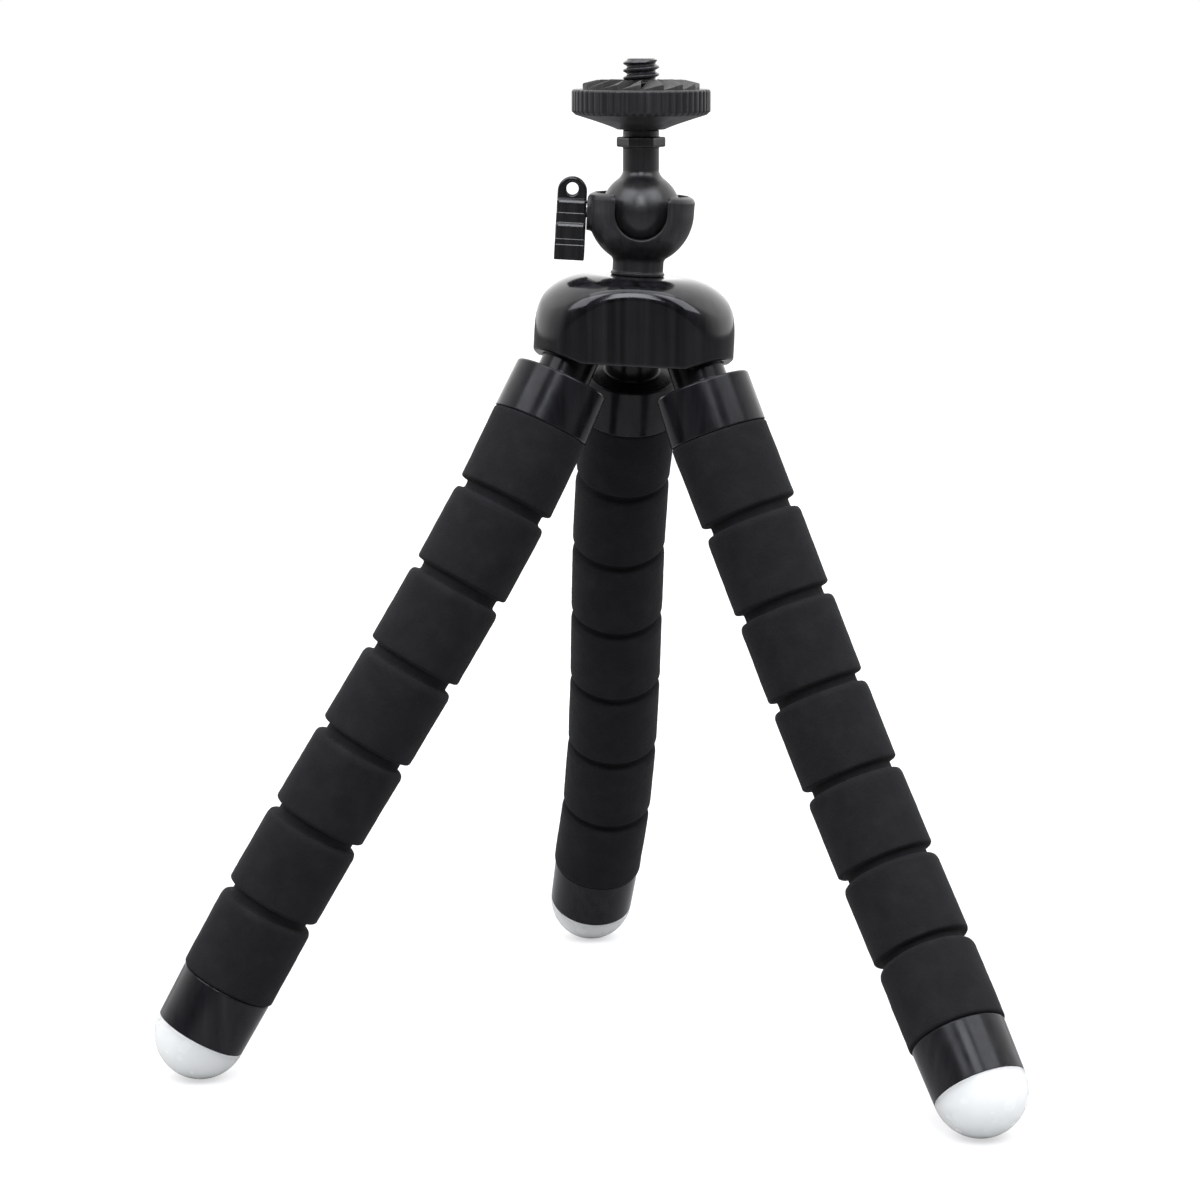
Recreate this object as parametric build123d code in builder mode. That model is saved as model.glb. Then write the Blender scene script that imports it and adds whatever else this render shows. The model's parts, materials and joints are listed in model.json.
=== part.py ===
"""Flexible phone tripod: three bendable foam legs, a lobed hub and a small ball head with a camera screw.

Millimetres and degrees, +Z up. The feet stand on Z = 0 and the origin is under the middle of the
footprint. +X is to the right and -Y is the front, where the slot of the ball cup opens.
"""
import math
import os
from collections import namedtuple

from build123d import *

# Fits and gaps
RUNNING = 0.08
SEATED = 0.05
LOOSE = 0.3
BALL_PLAY = 0.12
WIRE_BORE_GAP = 0.5

# Legs: foam tube with ground grooves on a bendable wire
FOAM_RADIUS = 8.5
BEAD_PITCH = 16.1
BEAD_COUNT = 7
GROOVE_WIDTH = 2.1
GROOVE_DEPTH = 1.4
BEAD_EDGE = 0.85
FOAM_PLUG_STEP = 1.5
FOAM_PLUG_LENGTH = 4.0
WIRE_RADIUS = 1.75
WIRE_END_WALL = 1.0
WIRE_BEND_SHARE = 0.45

# Collars that carry the legs
LEG_SPLAY = 25.0
COLLAR_RING_RADIUS = 13.9
COLLAR_TAPER = 0.25
COLLAR_LENGTH = 9.0
COLLAR_EDGE = 0.5
NECK_RADIUS = 4.7
NECK_LIP = 0.7
NECK_HEAD_HEIGHT = 1.8
COLLAR_SOCKET_DEPTH = 5.0

# Feet
CAP_LENGTH = 10.0
CAP_STEP = 0.3
CAP_TAPER = 0.2
TIP_PLUG_STEP = 1.4
TIP_PLUG_LENGTH = 4.0
CAP_WEB = 1.5
WIRE_FOOT_GAP = 0.4
LAST_BEAD_LENGTH = 15.6

# How each leg is bent: lean from the vertical and compass heading of its first, middle and last bead
Bend = namedtuple("Bend", "lean heading azimuth first_bead")
BENDS = {
    "left": Bend(lean=(28.4, 31.3, 28.8), heading=(-155, -171, -173.5), azimuth=-150, first_bead=14.8),
    "right": Bend(lean=(24.3, 27.0, 41.0), heading=(-31.5, -40, -61), azimuth=-30, first_bead=15.3),
    "rear": Bend(lean=(30.0, 28.7, 28.0), heading=(100, 92.3, 104.6), azimuth=90, first_bead=13.8),
}

# Hub, heights measured from the ring of collar tops
HUB_LEAN = 3.0
LOBE_RING_RADIUS = 9.0
LOBE_RADIUS = 9.5
HUB_BOTTOM = 3.2
HUB_TOP = 17.8
DOME_RADIUS = 11.2
DOME_REACH = 18.9
HUB_WALL = 1.8
HUB_EDGE = 1.0
LOBE_BEVEL_START = 14.7
BASE_THICKNESS = 3.0
BASE_SCREW_RING_RADIUS = 8.4
BASE_SCREW_RADIUS = 1.1
BASE_SCREW_LENGTH = 9.0
BASE_SCREW_HEAD_RADIUS = 1.9
BASE_SCREW_HEAD_HEIGHT = 1.2
SCREW_BOSS_RADIUS = 2.3
CROSS_SPAN_SHARE = 1.3
CROSS_BLADE = 0.6

# Swivel under the ball cup
SWIVEL_SPIGOT_RADIUS = 3.0
SWIVEL_SCREW_RADIUS = 1.5
SWIVEL_END_WALL = 0.9
SWIVEL_HEAD_RADIUS = 2.8
SWIVEL_HEAD_HEIGHT = 1.8
WASHER_RADIUS = 4.2
WASHER_THICKNESS = 0.8
CUP_FOOT_RADIUS = 4.65
CUP_FOOT_HEIGHT = 0.6
CUP_NECK_RADIUS = 4.4

# Ball cup
BALL_RADIUS = 6.9
CUP_WALL = 2.18
CUP_NECK_LENGTH = 1.8
CUP_FLARE = 0.15
CUP_RIM_HEIGHT = 2.2
CUP_RIM_EDGE = 0.3
SLOT_GAP = 1.18
CLAMP_BOSS_RADIUS = 3.7
CLAMP_BOSS_TRIM = 0.05
CAVITY_OVERRUN = 1.0

# Clamp screw and wing knob
CLAMP_SCREW_RADIUS = 1.5
INSERT_WALL = 0.52
INSERT_FLOOR = 0.43
KNOB_WIDTH = 5.1
KNOB_SCREW_SINK = 3.6
KNOB_TAB_TOP = 5.5
KNOB_TAB_THICKNESS = 2.6
KNOB_EYE_HEIGHT = 3.4
KNOB_EYE_RADIUS = 1.05
KNOB_TAIL = 8.8
KNOB_STEP_TOPS = (2.1, -2.3, -5.2)
KNOB_STEP_THICKNESSES = (4.0, 4.8, 5.6)
KNOB_EDGE = 0.35

# Ball stem, heights measured from the ball's centre
STEM_RADIUS = 3.12
STOP_BOTTOM = 11.1
STOP_TOP = 12.85
STOP_CORNER_STEP = 1.08
STOP_EDGE = 0.3
STEM_TOP = 14.0
SCREW_ROOT_STEP = 0.7
SCREW_ROOT_BOTTOM = 7.5
CAMERA_SCREW_RADIUS = 3.1
SHANK_STEP = 0.2
CAMERA_SCREW_TOP = 26.2
CAMERA_SCREW_EDGE = 0.6

# Lock wheel and its gripping pad, heights measured from the ball's centre
WHEEL_BOTTOM = 14.1
WHEEL_HUB_WALL = 1.4
WHEEL_SKIRT_STEP = 0.65
WHEEL_SKIRT_HEIGHT = 16.9
WHEEL_RADIUS = 11.95
WHEEL_EDGE_HEIGHT = 17.5
WHEEL_TOP = 20.95
WHEEL_RIBS = 54
RIB_GROOVE_SIDE = 0.5
PAD_POCKET_DEPTH = 1.0
PAD_LIP = 1.9
PAD_BORE_GAP = 0.4
PAD_CREST = 22.55
PAD_TEETH = 16
TOOTH_HEIGHT = 0.95
TOOTH_LAND = 0.3

# Sizes that follow from the ones above
foam_plug_radius = FOAM_RADIUS - FOAM_PLUG_STEP
foam_overrun = FOAM_RADIUS / 4
collar_top_radius = FOAM_RADIUS - COLLAR_TAPER
neck_head_radius = NECK_RADIUS + NECK_LIP
cap_top_radius = FOAM_RADIUS - CAP_STEP
tip_radius = cap_top_radius - CAP_TAPER
tip_plug_radius = tip_radius - TIP_PLUG_STEP
cap_web_bottom = TIP_PLUG_LENGTH + WIRE_FOOT_GAP / 2
cap_web_top = cap_web_bottom + CAP_WEB
cup_cavity_radius = BALL_RADIUS + BALL_PLAY
cup_radius = cup_cavity_radius + CUP_WALL
cup_rim_radius = cup_radius + CUP_FLARE
ball_height = HUB_TOP + CUP_NECK_LENGTH + cup_radius
slot_half_width = STEM_RADIUS + SLOT_GAP
clamp_boss_face = cup_radius - CLAMP_BOSS_TRIM
insert_radius = CLAMP_SCREW_RADIUS + RUNNING + INSERT_WALL
insert_floor = cup_cavity_radius + INSERT_FLOOR
stop_corner_radius = STEM_RADIUS + STOP_CORNER_STEP
screw_shank_radius = CAMERA_SCREW_RADIUS - SHANK_STEP
screw_root_radius = CAMERA_SCREW_RADIUS - SCREW_ROOT_STEP
wheel_bore = screw_shank_radius + LOOSE
wheel_hub_radius = wheel_bore + WHEEL_HUB_WALL
wheel_skirt_radius = WHEEL_RADIUS - WHEEL_SKIRT_STEP
pad_radius = WHEEL_RADIUS - PAD_LIP
pad_bore_radius = CAMERA_SCREW_RADIUS + PAD_BORE_GAP


def direction(lean, heading):
    """Unit vector that points down, tipped from the vertical by lean towards heading."""
    lean, heading = math.radians(lean), math.radians(heading)
    return Vector(math.sin(lean) * math.cos(heading), math.sin(lean) * math.sin(heading), -math.cos(lean))


def through_three(values, share):
    """Value at share 0 to 1 of the smooth curve through a start, a middle and an end value."""
    start, middle, end = values
    return (start * (1 - share) * (1 - 2 * share) + 4 * middle * share * (1 - share)
            + end * share * (2 * share - 1))


def hub_plane_at(origin):
    """The hub's own plane: the ring of collar tops, leaning with the hub."""
    lean = math.radians(HUB_LEAN)
    return Plane(origin=origin, x_dir=(math.cos(lean), 0, -math.sin(lean)),
                 z_dir=(math.sin(lean), 0, math.cos(lean)))


Chain = namedtuple("Chain", "collar_top collar_axis mouth grooves axes tip")


def leg_chain(hub, bend, extra_lean):
    """Points and axes of one leg from its collar to the middle of its foot tip."""
    azimuth, splay = math.radians(bend.azimuth), math.radians(LEG_SPLAY)
    outward = hub.x_dir * math.cos(azimuth) + hub.y_dir * math.sin(azimuth)
    collar_axis = outward * math.sin(splay) - hub.z_dir * math.cos(splay)
    collar_top = hub.origin + outward * COLLAR_RING_RADIUS
    mouth = collar_top + collar_axis * COLLAR_LENGTH
    shares = [bead / (BEAD_COUNT - 1) for bead in range(BEAD_COUNT)]
    axes = [direction(through_three(bend.lean, share) + extra_lean, through_three(bend.heading, share))
            for share in shares]
    grooves = [mouth + axes[0] * bend.first_bead]
    for axis in axes[1:-1]:
        grooves.append(grooves[-1] + axis * BEAD_PITCH)
    tip = grooves[-1] + axes[-1] * (LAST_BEAD_LENGTH + CAP_LENGTH)
    return Chain(collar_top, collar_axis, mouth, grooves, axes, tip)


def extra_lean_to_floor(hub, bend, floor):
    """Lean added to a whole leg so that its foot tip comes down to the floor, found by halving."""
    straighter, flatter = -20.0, 20.0
    for _ in range(50):
        middle = (straighter + flatter) / 2
        if leg_chain(hub, bend, middle).tip.Z < floor:
            straighter = middle
        else:
            flatter = middle
    return (straighter + flatter) / 2


# The left leg sets the hub's height and the other two are leaned to the same floor
trial_hub = hub_plane_at((0, 0, 0))
floor_level = leg_chain(trial_hub, BENDS["left"], 0).tip.Z
extra_leans = {name: extra_lean_to_floor(trial_hub, bend, floor_level) for name, bend in BENDS.items()}
trial_tips = {name: leg_chain(trial_hub, bend, extra_leans[name]).tip for name, bend in BENDS.items()}
footprint_x = (trial_tips["left"].X + trial_tips["right"].X) / 2
footprint_y = (trial_tips["right"].Y + trial_tips["rear"].Y) / 2
hub_plane = hub_plane_at((-footprint_x, -footprint_y, tip_radius - floor_level))
hub_axis = Axis(hub_plane.origin, hub_plane.z_dir)
hub_section = Plane(origin=hub_plane.origin, x_dir=hub_plane.x_dir, z_dir=-hub_plane.y_dir)
chains = {name: leg_chain(hub_plane, bend, extra_leans[name]) for name, bend in BENDS.items()}

ball_centre = hub_plane.origin + hub_plane.z_dir * ball_height
cup_plane = Plane(origin=ball_centre, x_dir=hub_plane.x_dir, z_dir=hub_plane.z_dir)
cup_section = Plane(origin=ball_centre, x_dir=hub_plane.x_dir, z_dir=-hub_plane.y_dir)
clamp_plane = Plane(origin=ball_centre, x_dir=hub_plane.y_dir, z_dir=-hub_plane.x_dir)
stem_plane = Plane(origin=ball_centre, x_dir=(1, 0, 0), z_dir=(0, 0, 1))

finished = []


def finish(node, label):
    """Label one finished piece and keep it for export."""
    node.part.label = label
    finished.append(node.part)


def cylinder_on(plane, start, end, radius, mode=Mode.ADD):
    """Cylinder about the plane's normal between two heights above the plane."""
    with BuildSketch(plane.offset(start)) as disc:
        Circle(radius)
    extrude(disc.sketch, amount=end - start, mode=mode)


def turned(plane, outline):
    """Solid of revolution about the plane's normal from (radius, height) points."""
    section = Plane(origin=plane.origin, x_dir=plane.x_dir, z_dir=-plane.y_dir)
    with BuildSketch(section) as profile:
        with BuildLine():
            Polyline(*outline, close=True)
        make_face()
    revolve(profile.sketch, axis=Axis(plane.origin, plane.z_dir))


def round_edges(node, radius_of_edges, size):
    """Fillet every circular edge of one radius."""
    circles = node.edges().filter_by(GeomType.CIRCLE)
    fillet([edge for edge in circles if abs(edge.radius - radius_of_edges) < SEATED], size)


def hub_outward(azimuth):
    """Direction across the hub's plane at one azimuth."""
    azimuth = math.radians(azimuth)
    return hub_plane.x_dir * math.cos(azimuth) + hub_plane.y_dir * math.sin(azimuth)


def lobed_outline(plane, radius):
    """Rounded triangle round the three lobes."""
    with BuildSketch(plane) as outline:
        with PolarLocations(LOBE_RING_RADIUS, len(BENDS), start_angle=BENDS["right"].azimuth):
            Circle(radius)
        make_hull()
    return outline.sketch


def dome_outline(inset):
    """Half section of the hub's dome, moved inwards by a wall."""
    radius = DOME_RADIUS - inset
    corner_x = DOME_REACH - DOME_RADIUS
    corner_z = HUB_TOP - DOME_RADIUS
    with BuildSketch(hub_section) as outline:
        with BuildLine():
            Line((0, 0), (corner_x + radius, 0))
            Line((corner_x + radius, 0), (corner_x + radius, corner_z))
            RadiusArc((corner_x + radius, corner_z), (corner_x, corner_z + radius), -radius)
            Line((corner_x, corner_z + radius), (0, corner_z + radius))
            Line((0, corner_z + radius), (0, 0))
        make_face()
    return outline.sketch


def bevel_lobes():
    """Cut the underside of each lobe square to its leg."""
    for name, chain in chains.items():
        start = (hub_plane.origin + hub_outward(BENDS[name].azimuth) * LOBE_BEVEL_START
                 + hub_plane.z_dir * HUB_BOTTOM)
        with BuildSketch(Plane(origin=start, z_dir=chain.collar_axis)) as bevel:
            Rectangle(4 * LOBE_RADIUS, 4 * LOBE_RADIUS)
        extrude(bevel.sketch, amount=HUB_TOP, mode=Mode.SUBTRACT)


def neck_plane(name):
    """Plane on a collar's top: normal up its neck into the hub, X away from the hub's middle."""
    splay_angle = math.radians(LEG_SPLAY)
    across = (hub_outward(BENDS[name].azimuth) * math.cos(splay_angle)
              + hub_plane.z_dir * math.sin(splay_angle))
    return Plane(origin=chains[name].collar_top, x_dir=across, z_dir=-chains[name].collar_axis)


def base_screw_planes():
    """Planes at the feet of the base screws, between the legs."""
    return [Plane(origin=hub_plane.origin + hub_outward(bend.azimuth + 60) * BASE_SCREW_RING_RADIUS,
                  x_dir=hub_plane.x_dir, z_dir=hub_plane.z_dir) for bend in BENDS.values()]


def cross_recess(plane, head_radius, head_height):
    """Cut a screwdriver cross halfway into the screw head whose face lies on the plane."""
    span = CROSS_SPAN_SHARE * head_radius
    with BuildSketch(plane) as cross:
        Rectangle(span, CROSS_BLADE)
        Rectangle(CROSS_BLADE, span)
    extrude(cross.sketch, amount=head_height / 2, mode=Mode.SUBTRACT)


# Heights inside the hub that several pieces share
base_top = HUB_BOTTOM + BASE_THICKNESS
leg_splay = math.radians(LEG_SPLAY)
neck_head_start = (base_top + SEATED + neck_head_radius * math.sin(leg_splay)) / math.cos(leg_splay)
neck_top = neck_head_start + NECK_HEAD_HEIGHT
cavity_top = HUB_TOP - HUB_WALL
spigot_end = cavity_top - 2 * SEATED
washer_bottom = spigot_end - WASHER_THICKNESS
swivel_screw_top = ball_height - cup_cavity_radius - SWIVEL_END_WALL
base_screw_end = HUB_BOTTOM + BASE_SCREW_LENGTH

# Hub shell: glossy lobed dome, open below, with bosses for the base screws
with BuildPart() as hub_cavity:
    extrude(lobed_outline(hub_plane, LOBE_RADIUS - HUB_WALL), amount=HUB_TOP)
    revolve(dome_outline(HUB_WALL), axis=hub_axis, mode=Mode.INTERSECT)

with BuildPart() as hub_shell:
    extrude(lobed_outline(hub_plane.offset(HUB_BOTTOM), LOBE_RADIUS), amount=HUB_TOP)
    revolve(dome_outline(0), axis=hub_axis, mode=Mode.INTERSECT)
    fillet(hub_shell.edges().filter_by(GeomType.BSPLINE), HUB_EDGE)
    bevel_lobes()
    add(hub_cavity.part, mode=Mode.SUBTRACT)
    for boss in base_screw_planes():
        cylinder_on(boss, base_top + SEATED, cavity_top + SEATED, SCREW_BOSS_RADIUS)
        cylinder_on(boss, base_top, base_screw_end + LOOSE, BASE_SCREW_RADIUS + SEATED, mode=Mode.SUBTRACT)
    cylinder_on(hub_plane, cavity_top - LOOSE, HUB_TOP + LOOSE, SWIVEL_SPIGOT_RADIUS + RUNNING,
                mode=Mode.SUBTRACT)
    for name in BENDS:
        cylinder_on(neck_plane(name), 0, neck_top, NECK_RADIUS + SEATED, mode=Mode.SUBTRACT)
        cylinder_on(neck_plane(name), neck_head_start - SEATED, neck_top + SEATED,
                    neck_head_radius + SEATED, mode=Mode.SUBTRACT)
finish(hub_shell, "hub_shell")

# Hub base: plate inside the shell, notched from outside so that the necks slide in
with BuildPart() as hub_base:
    extrude(lobed_outline(hub_plane.offset(HUB_BOTTOM), LOBE_RADIUS - HUB_WALL - SEATED),
            amount=BASE_THICKNESS)
    bevel_lobes()
    for name in BENDS:
        with BuildSketch(neck_plane(name).offset(-NECK_HEAD_HEIGHT)) as notch:
            Circle(NECK_RADIUS + SEATED)
            with Locations((LOBE_RADIUS, 0)):
                Rectangle(2 * LOBE_RADIUS, 2 * (NECK_RADIUS + SEATED))
        extrude(notch.sketch, amount=neck_top, mode=Mode.SUBTRACT)
    for boss in base_screw_planes():
        cylinder_on(boss, HUB_BOTTOM, base_top, BASE_SCREW_RADIUS + SEATED, mode=Mode.SUBTRACT)
        cylinder_on(boss, HUB_BOTTOM, HUB_BOTTOM + BASE_SCREW_HEAD_HEIGHT + SEATED,
                    BASE_SCREW_HEAD_RADIUS + SEATED, mode=Mode.SUBTRACT)
finish(hub_base, "hub_base")

with BuildPart() as hub_base_screws:
    for boss in base_screw_planes():
        cylinder_on(boss, HUB_BOTTOM, HUB_BOTTOM + BASE_SCREW_HEAD_HEIGHT, BASE_SCREW_HEAD_RADIUS)
        cylinder_on(boss, HUB_BOTTOM, base_screw_end, BASE_SCREW_RADIUS)
        cross_recess(boss.offset(HUB_BOTTOM), BASE_SCREW_HEAD_RADIUS, BASE_SCREW_HEAD_HEIGHT)
finish(hub_base_screws, "hub_base_screws")

# Swivel: one screw and washer inside the hub hold the ball cup's spigot
with BuildPart() as swivel_washer:
    cylinder_on(hub_plane, washer_bottom, spigot_end, WASHER_RADIUS)
    cylinder_on(hub_plane, washer_bottom, spigot_end, SWIVEL_SCREW_RADIUS + SEATED, mode=Mode.SUBTRACT)
finish(swivel_washer, "swivel_washer")

with BuildPart() as swivel_screw:
    cylinder_on(hub_plane, washer_bottom - SWIVEL_HEAD_HEIGHT, washer_bottom, SWIVEL_HEAD_RADIUS)
    cylinder_on(hub_plane, washer_bottom, swivel_screw_top, SWIVEL_SCREW_RADIUS)
    cross_recess(hub_plane.offset(washer_bottom - SWIVEL_HEAD_HEIGHT), SWIVEL_HEAD_RADIUS,
                 SWIVEL_HEAD_HEIGHT)
finish(swivel_screw, "swivel_screw")

# Ball cup: round cup on a neck, with a slot at the front for the stem and a boss for the clamp screw
with BuildPart() as ball_cup:
    with BuildSketch(cup_section) as cup_outline:
        with BuildLine():
            RadiusArc((0, -cup_radius), (cup_radius, 0), -cup_radius)
            Line((cup_radius, 0), (cup_rim_radius, CUP_RIM_HEIGHT))
            Line((cup_rim_radius, CUP_RIM_HEIGHT), (0, CUP_RIM_HEIGHT))
            Line((0, CUP_RIM_HEIGHT), (0, -cup_radius))
        make_face()
    revolve(cup_outline.sketch, axis=hub_axis)
    round_edges(ball_cup, cup_rim_radius, CUP_RIM_EDGE)
    cylinder_on(hub_plane, HUB_TOP + SEATED, ball_height - BALL_RADIUS - CAVITY_OVERRUN, CUP_NECK_RADIUS)
    cylinder_on(hub_plane, HUB_TOP + SEATED, HUB_TOP + SEATED + CUP_FOOT_HEIGHT, CUP_FOOT_RADIUS)
    cylinder_on(hub_plane, spigot_end, HUB_TOP + SEATED, SWIVEL_SPIGOT_RADIUS)
    cylinder_on(clamp_plane, BALL_RADIUS - CAVITY_OVERRUN, clamp_boss_face, CLAMP_BOSS_RADIUS)
    cylinder_on(clamp_plane, clamp_boss_face, 2 * cup_rim_radius, CLAMP_BOSS_RADIUS, mode=Mode.SUBTRACT)
    with Locations(ball_centre):
        Sphere(cup_cavity_radius, mode=Mode.SUBTRACT)
    with BuildSketch(cup_section) as slot:
        Circle(slot_half_width)
        with Locations((0, cup_radius / 2)):
            Rectangle(2 * slot_half_width, cup_radius)
    extrude(slot.sketch, amount=2 * cup_radius, mode=Mode.SUBTRACT)
    cylinder_on(clamp_plane, BALL_RADIUS - CAVITY_OVERRUN, clamp_boss_face, CLAMP_SCREW_RADIUS + RUNNING,
                mode=Mode.SUBTRACT)
    cylinder_on(clamp_plane, insert_floor - SEATED, clamp_boss_face, insert_radius + SEATED,
                mode=Mode.SUBTRACT)
    cylinder_on(hub_plane, spigot_end, swivel_screw_top + SEATED, SWIVEL_SCREW_RADIUS + SEATED,
                mode=Mode.SUBTRACT)
finish(ball_cup, "ball_cup")

with BuildPart() as clamp_insert:
    cylinder_on(clamp_plane, insert_floor, clamp_boss_face - SEATED, insert_radius)
    cylinder_on(clamp_plane, insert_floor, clamp_boss_face - SEATED, CLAMP_SCREW_RADIUS + RUNNING,
                mode=Mode.SUBTRACT)
finish(clamp_insert, "clamp_insert")

# Wing knob: flat wing in line with its screw, with a lanyard eye above and a stepped grip below
knob_near = clamp_boss_face + LOOSE
knob_middle = knob_near + KNOB_WIDTH / 2
eye_height = KNOB_TAB_TOP - KNOB_WIDTH / 2
with BuildPart() as wing_knob:
    with BuildSketch(cup_section) as tab:
        with Locations((-knob_middle, eye_height)):
            Circle(KNOB_WIDTH / 2)
        with Locations((-knob_middle, eye_height / 2)):
            Rectangle(KNOB_WIDTH, eye_height)
        with Locations((-knob_middle, KNOB_EYE_HEIGHT)):
            Circle(KNOB_EYE_RADIUS, mode=Mode.SUBTRACT)
    extrude(tab.sketch, amount=KNOB_TAB_THICKNESS / 2, both=True)
    for top, thickness in zip(KNOB_STEP_TOPS, KNOB_STEP_THICKNESSES):
        with BuildSketch(cup_plane.offset(-KNOB_TAIL)) as grip:
            with Locations((-knob_middle, 0)):
                RectangleRounded(KNOB_WIDTH, thickness, KNOB_EDGE)
        extrude(grip.sketch, amount=KNOB_TAIL + top)
    cylinder_on(clamp_plane, knob_near, knob_near + KNOB_SCREW_SINK, CLAMP_SCREW_RADIUS + SEATED,
                mode=Mode.SUBTRACT)
finish(wing_knob, "wing_knob")

with BuildPart() as knob_screw:
    cylinder_on(clamp_plane, BALL_RADIUS + LOOSE, knob_near + KNOB_SCREW_SINK - SEATED, CLAMP_SCREW_RADIUS)
finish(knob_screw, "knob_screw")

# Ball and stem in one piece, with a six-sided stop collar under the wheel
with BuildPart() as ball_stem:
    with Locations(ball_centre):
        Sphere(BALL_RADIUS)
    cylinder_on(stem_plane, 0, STEM_TOP, STEM_RADIUS)
    with BuildSketch(stem_plane.offset(STOP_BOTTOM)) as stop:
        RegularPolygon(stop_corner_radius, 6)
    extrude(stop.sketch, amount=STOP_TOP - STOP_BOTTOM)
    stop_edges = ball_stem.edges(Select.LAST).filter_by(GeomType.LINE)
    chamfer(stop_edges - stop_edges.filter_by(Axis.Z), STOP_EDGE)
    cylinder_on(stem_plane, SCREW_ROOT_BOTTOM, STEM_TOP, screw_root_radius + SEATED, mode=Mode.SUBTRACT)
finish(ball_stem, "ball_stem")

with BuildPart() as camera_screw:
    turned(stem_plane, [(0, SCREW_ROOT_BOTTOM + SEATED), (screw_root_radius, SCREW_ROOT_BOTTOM + SEATED),
                        (screw_root_radius, STEM_TOP), (screw_shank_radius, STEM_TOP),
                        (screw_shank_radius, PAD_CREST), (CAMERA_SCREW_RADIUS, PAD_CREST),
                        (CAMERA_SCREW_RADIUS, CAMERA_SCREW_TOP - CAMERA_SCREW_EDGE),
                        (CAMERA_SCREW_RADIUS - CAMERA_SCREW_EDGE, CAMERA_SCREW_TOP),
                        (0, CAMERA_SCREW_TOP)])
finish(camera_screw, "camera_screw")

# Lock wheel: ribbed wheel that turns on the camera screw and carries the pad
pocket_floor = WHEEL_TOP - PAD_POCKET_DEPTH
with BuildPart() as lock_wheel:
    turned(stem_plane, [(wheel_bore, WHEEL_BOTTOM), (wheel_hub_radius, WHEEL_BOTTOM),
                        (wheel_skirt_radius, WHEEL_SKIRT_HEIGHT), (WHEEL_RADIUS, WHEEL_EDGE_HEIGHT),
                        (WHEEL_RADIUS, WHEEL_TOP), (pad_radius + SEATED, WHEEL_TOP),
                        (pad_radius + SEATED, pocket_floor), (wheel_bore, pocket_floor)])
    with BuildSketch(stem_plane.offset(WHEEL_SKIRT_HEIGHT)) as rib_grooves:
        with PolarLocations(WHEEL_RADIUS, WHEEL_RIBS):
            Rectangle(RIB_GROOVE_SIDE, RIB_GROOVE_SIDE, rotation=45)
    extrude(rib_grooves.sketch, amount=WHEEL_TOP, mode=Mode.SUBTRACT)
finish(lock_wheel, "lock_wheel")

# Pad: ring of ratchet-like teeth that grip the camera; one gap between teeth is made at the origin
tooth_foot = PAD_CREST - TOOTH_HEIGHT
with BuildPart() as tooth_gap:
    for radius in (pad_bore_radius / 2, pad_radius + LOOSE):
        pitch = 2 * math.pi * radius / PAD_TEETH
        with BuildSketch(Plane(origin=(radius, 0, 0), x_dir=(0, 1, 0), z_dir=(1, 0, 0))):
            with BuildLine():
                Polyline((0, tooth_foot), (pitch - TOOTH_LAND, PAD_CREST),
                         (pitch - TOOTH_LAND, PAD_CREST + LOOSE), (0, PAD_CREST + LOOSE), close=True)
            make_face()
    loft(ruled=True)

with BuildPart(stem_plane) as platform_pad:
    turned(stem_plane, [(pad_bore_radius, pocket_floor), (pad_radius, pocket_floor),
                        (pad_radius, PAD_CREST), (pad_bore_radius, PAD_CREST)])
    with PolarLocations(0, PAD_TEETH):
        add(tooth_gap.part, mode=Mode.SUBTRACT)
finish(platform_pad, "platform_pad")


def make_collar(name):
    """Collar with its neck and keyed head, moulded round the top of the core wire."""
    wire_hole = WIRE_RADIUS + SEATED
    socket_floor = COLLAR_SOCKET_DEPTH - COLLAR_LENGTH
    with BuildPart() as collar:
        turned(neck_plane(name), [
            (0, neck_top), (neck_head_radius, neck_top), (neck_head_radius, neck_head_start),
            (NECK_RADIUS, neck_head_start), (NECK_RADIUS, 0), (collar_top_radius, 0),
            (FOAM_RADIUS, -COLLAR_LENGTH), (foam_plug_radius + SEATED, -COLLAR_LENGTH),
            (foam_plug_radius + SEATED, socket_floor), (wire_hole, socket_floor),
            (wire_hole, neck_top - WIRE_END_WALL), (0, neck_top - WIRE_END_WALL)])
        round_edges(collar, collar_top_radius, COLLAR_EDGE)
    finish(collar, f"{name}_collar")


def make_wire(name):
    """Bendable core wire from inside the collar's neck to the foot cap."""
    chain = chains[name]
    top = chain.collar_top - chain.collar_axis * (neck_top - WIRE_END_WALL - SEATED)
    end = chain.tip - chain.axes[-1] * (TIP_PLUG_LENGTH + WIRE_FOOT_GAP)
    points = [top, chain.mouth, *chain.grooves, end]
    radii = []
    for before, corner, after in zip(points, points[1:], points[2:]):
        turn = math.radians((corner - before).get_angle(after - corner))
        run = min((corner - before).length, (after - corner).length)
        radii.append(WIRE_BEND_SHARE * run / math.tan(turn / 2))
    with BuildPart() as wire:
        with BuildLine() as route:
            FilletPolyline(*points, radius=radii)
        with BuildSketch(Plane(origin=top, z_dir=chain.collar_axis)) as section:
            Circle(WIRE_RADIUS)
        sweep(section.sketch, path=route.wires()[0])
    expected = math.pi * WIRE_RADIUS ** 2 * route.wires()[0].length
    print(f"{name} wire: volume over section times length {wire.part.volume / expected:.4f}")
    finish(wire, f"{name}_core_wire")


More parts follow.
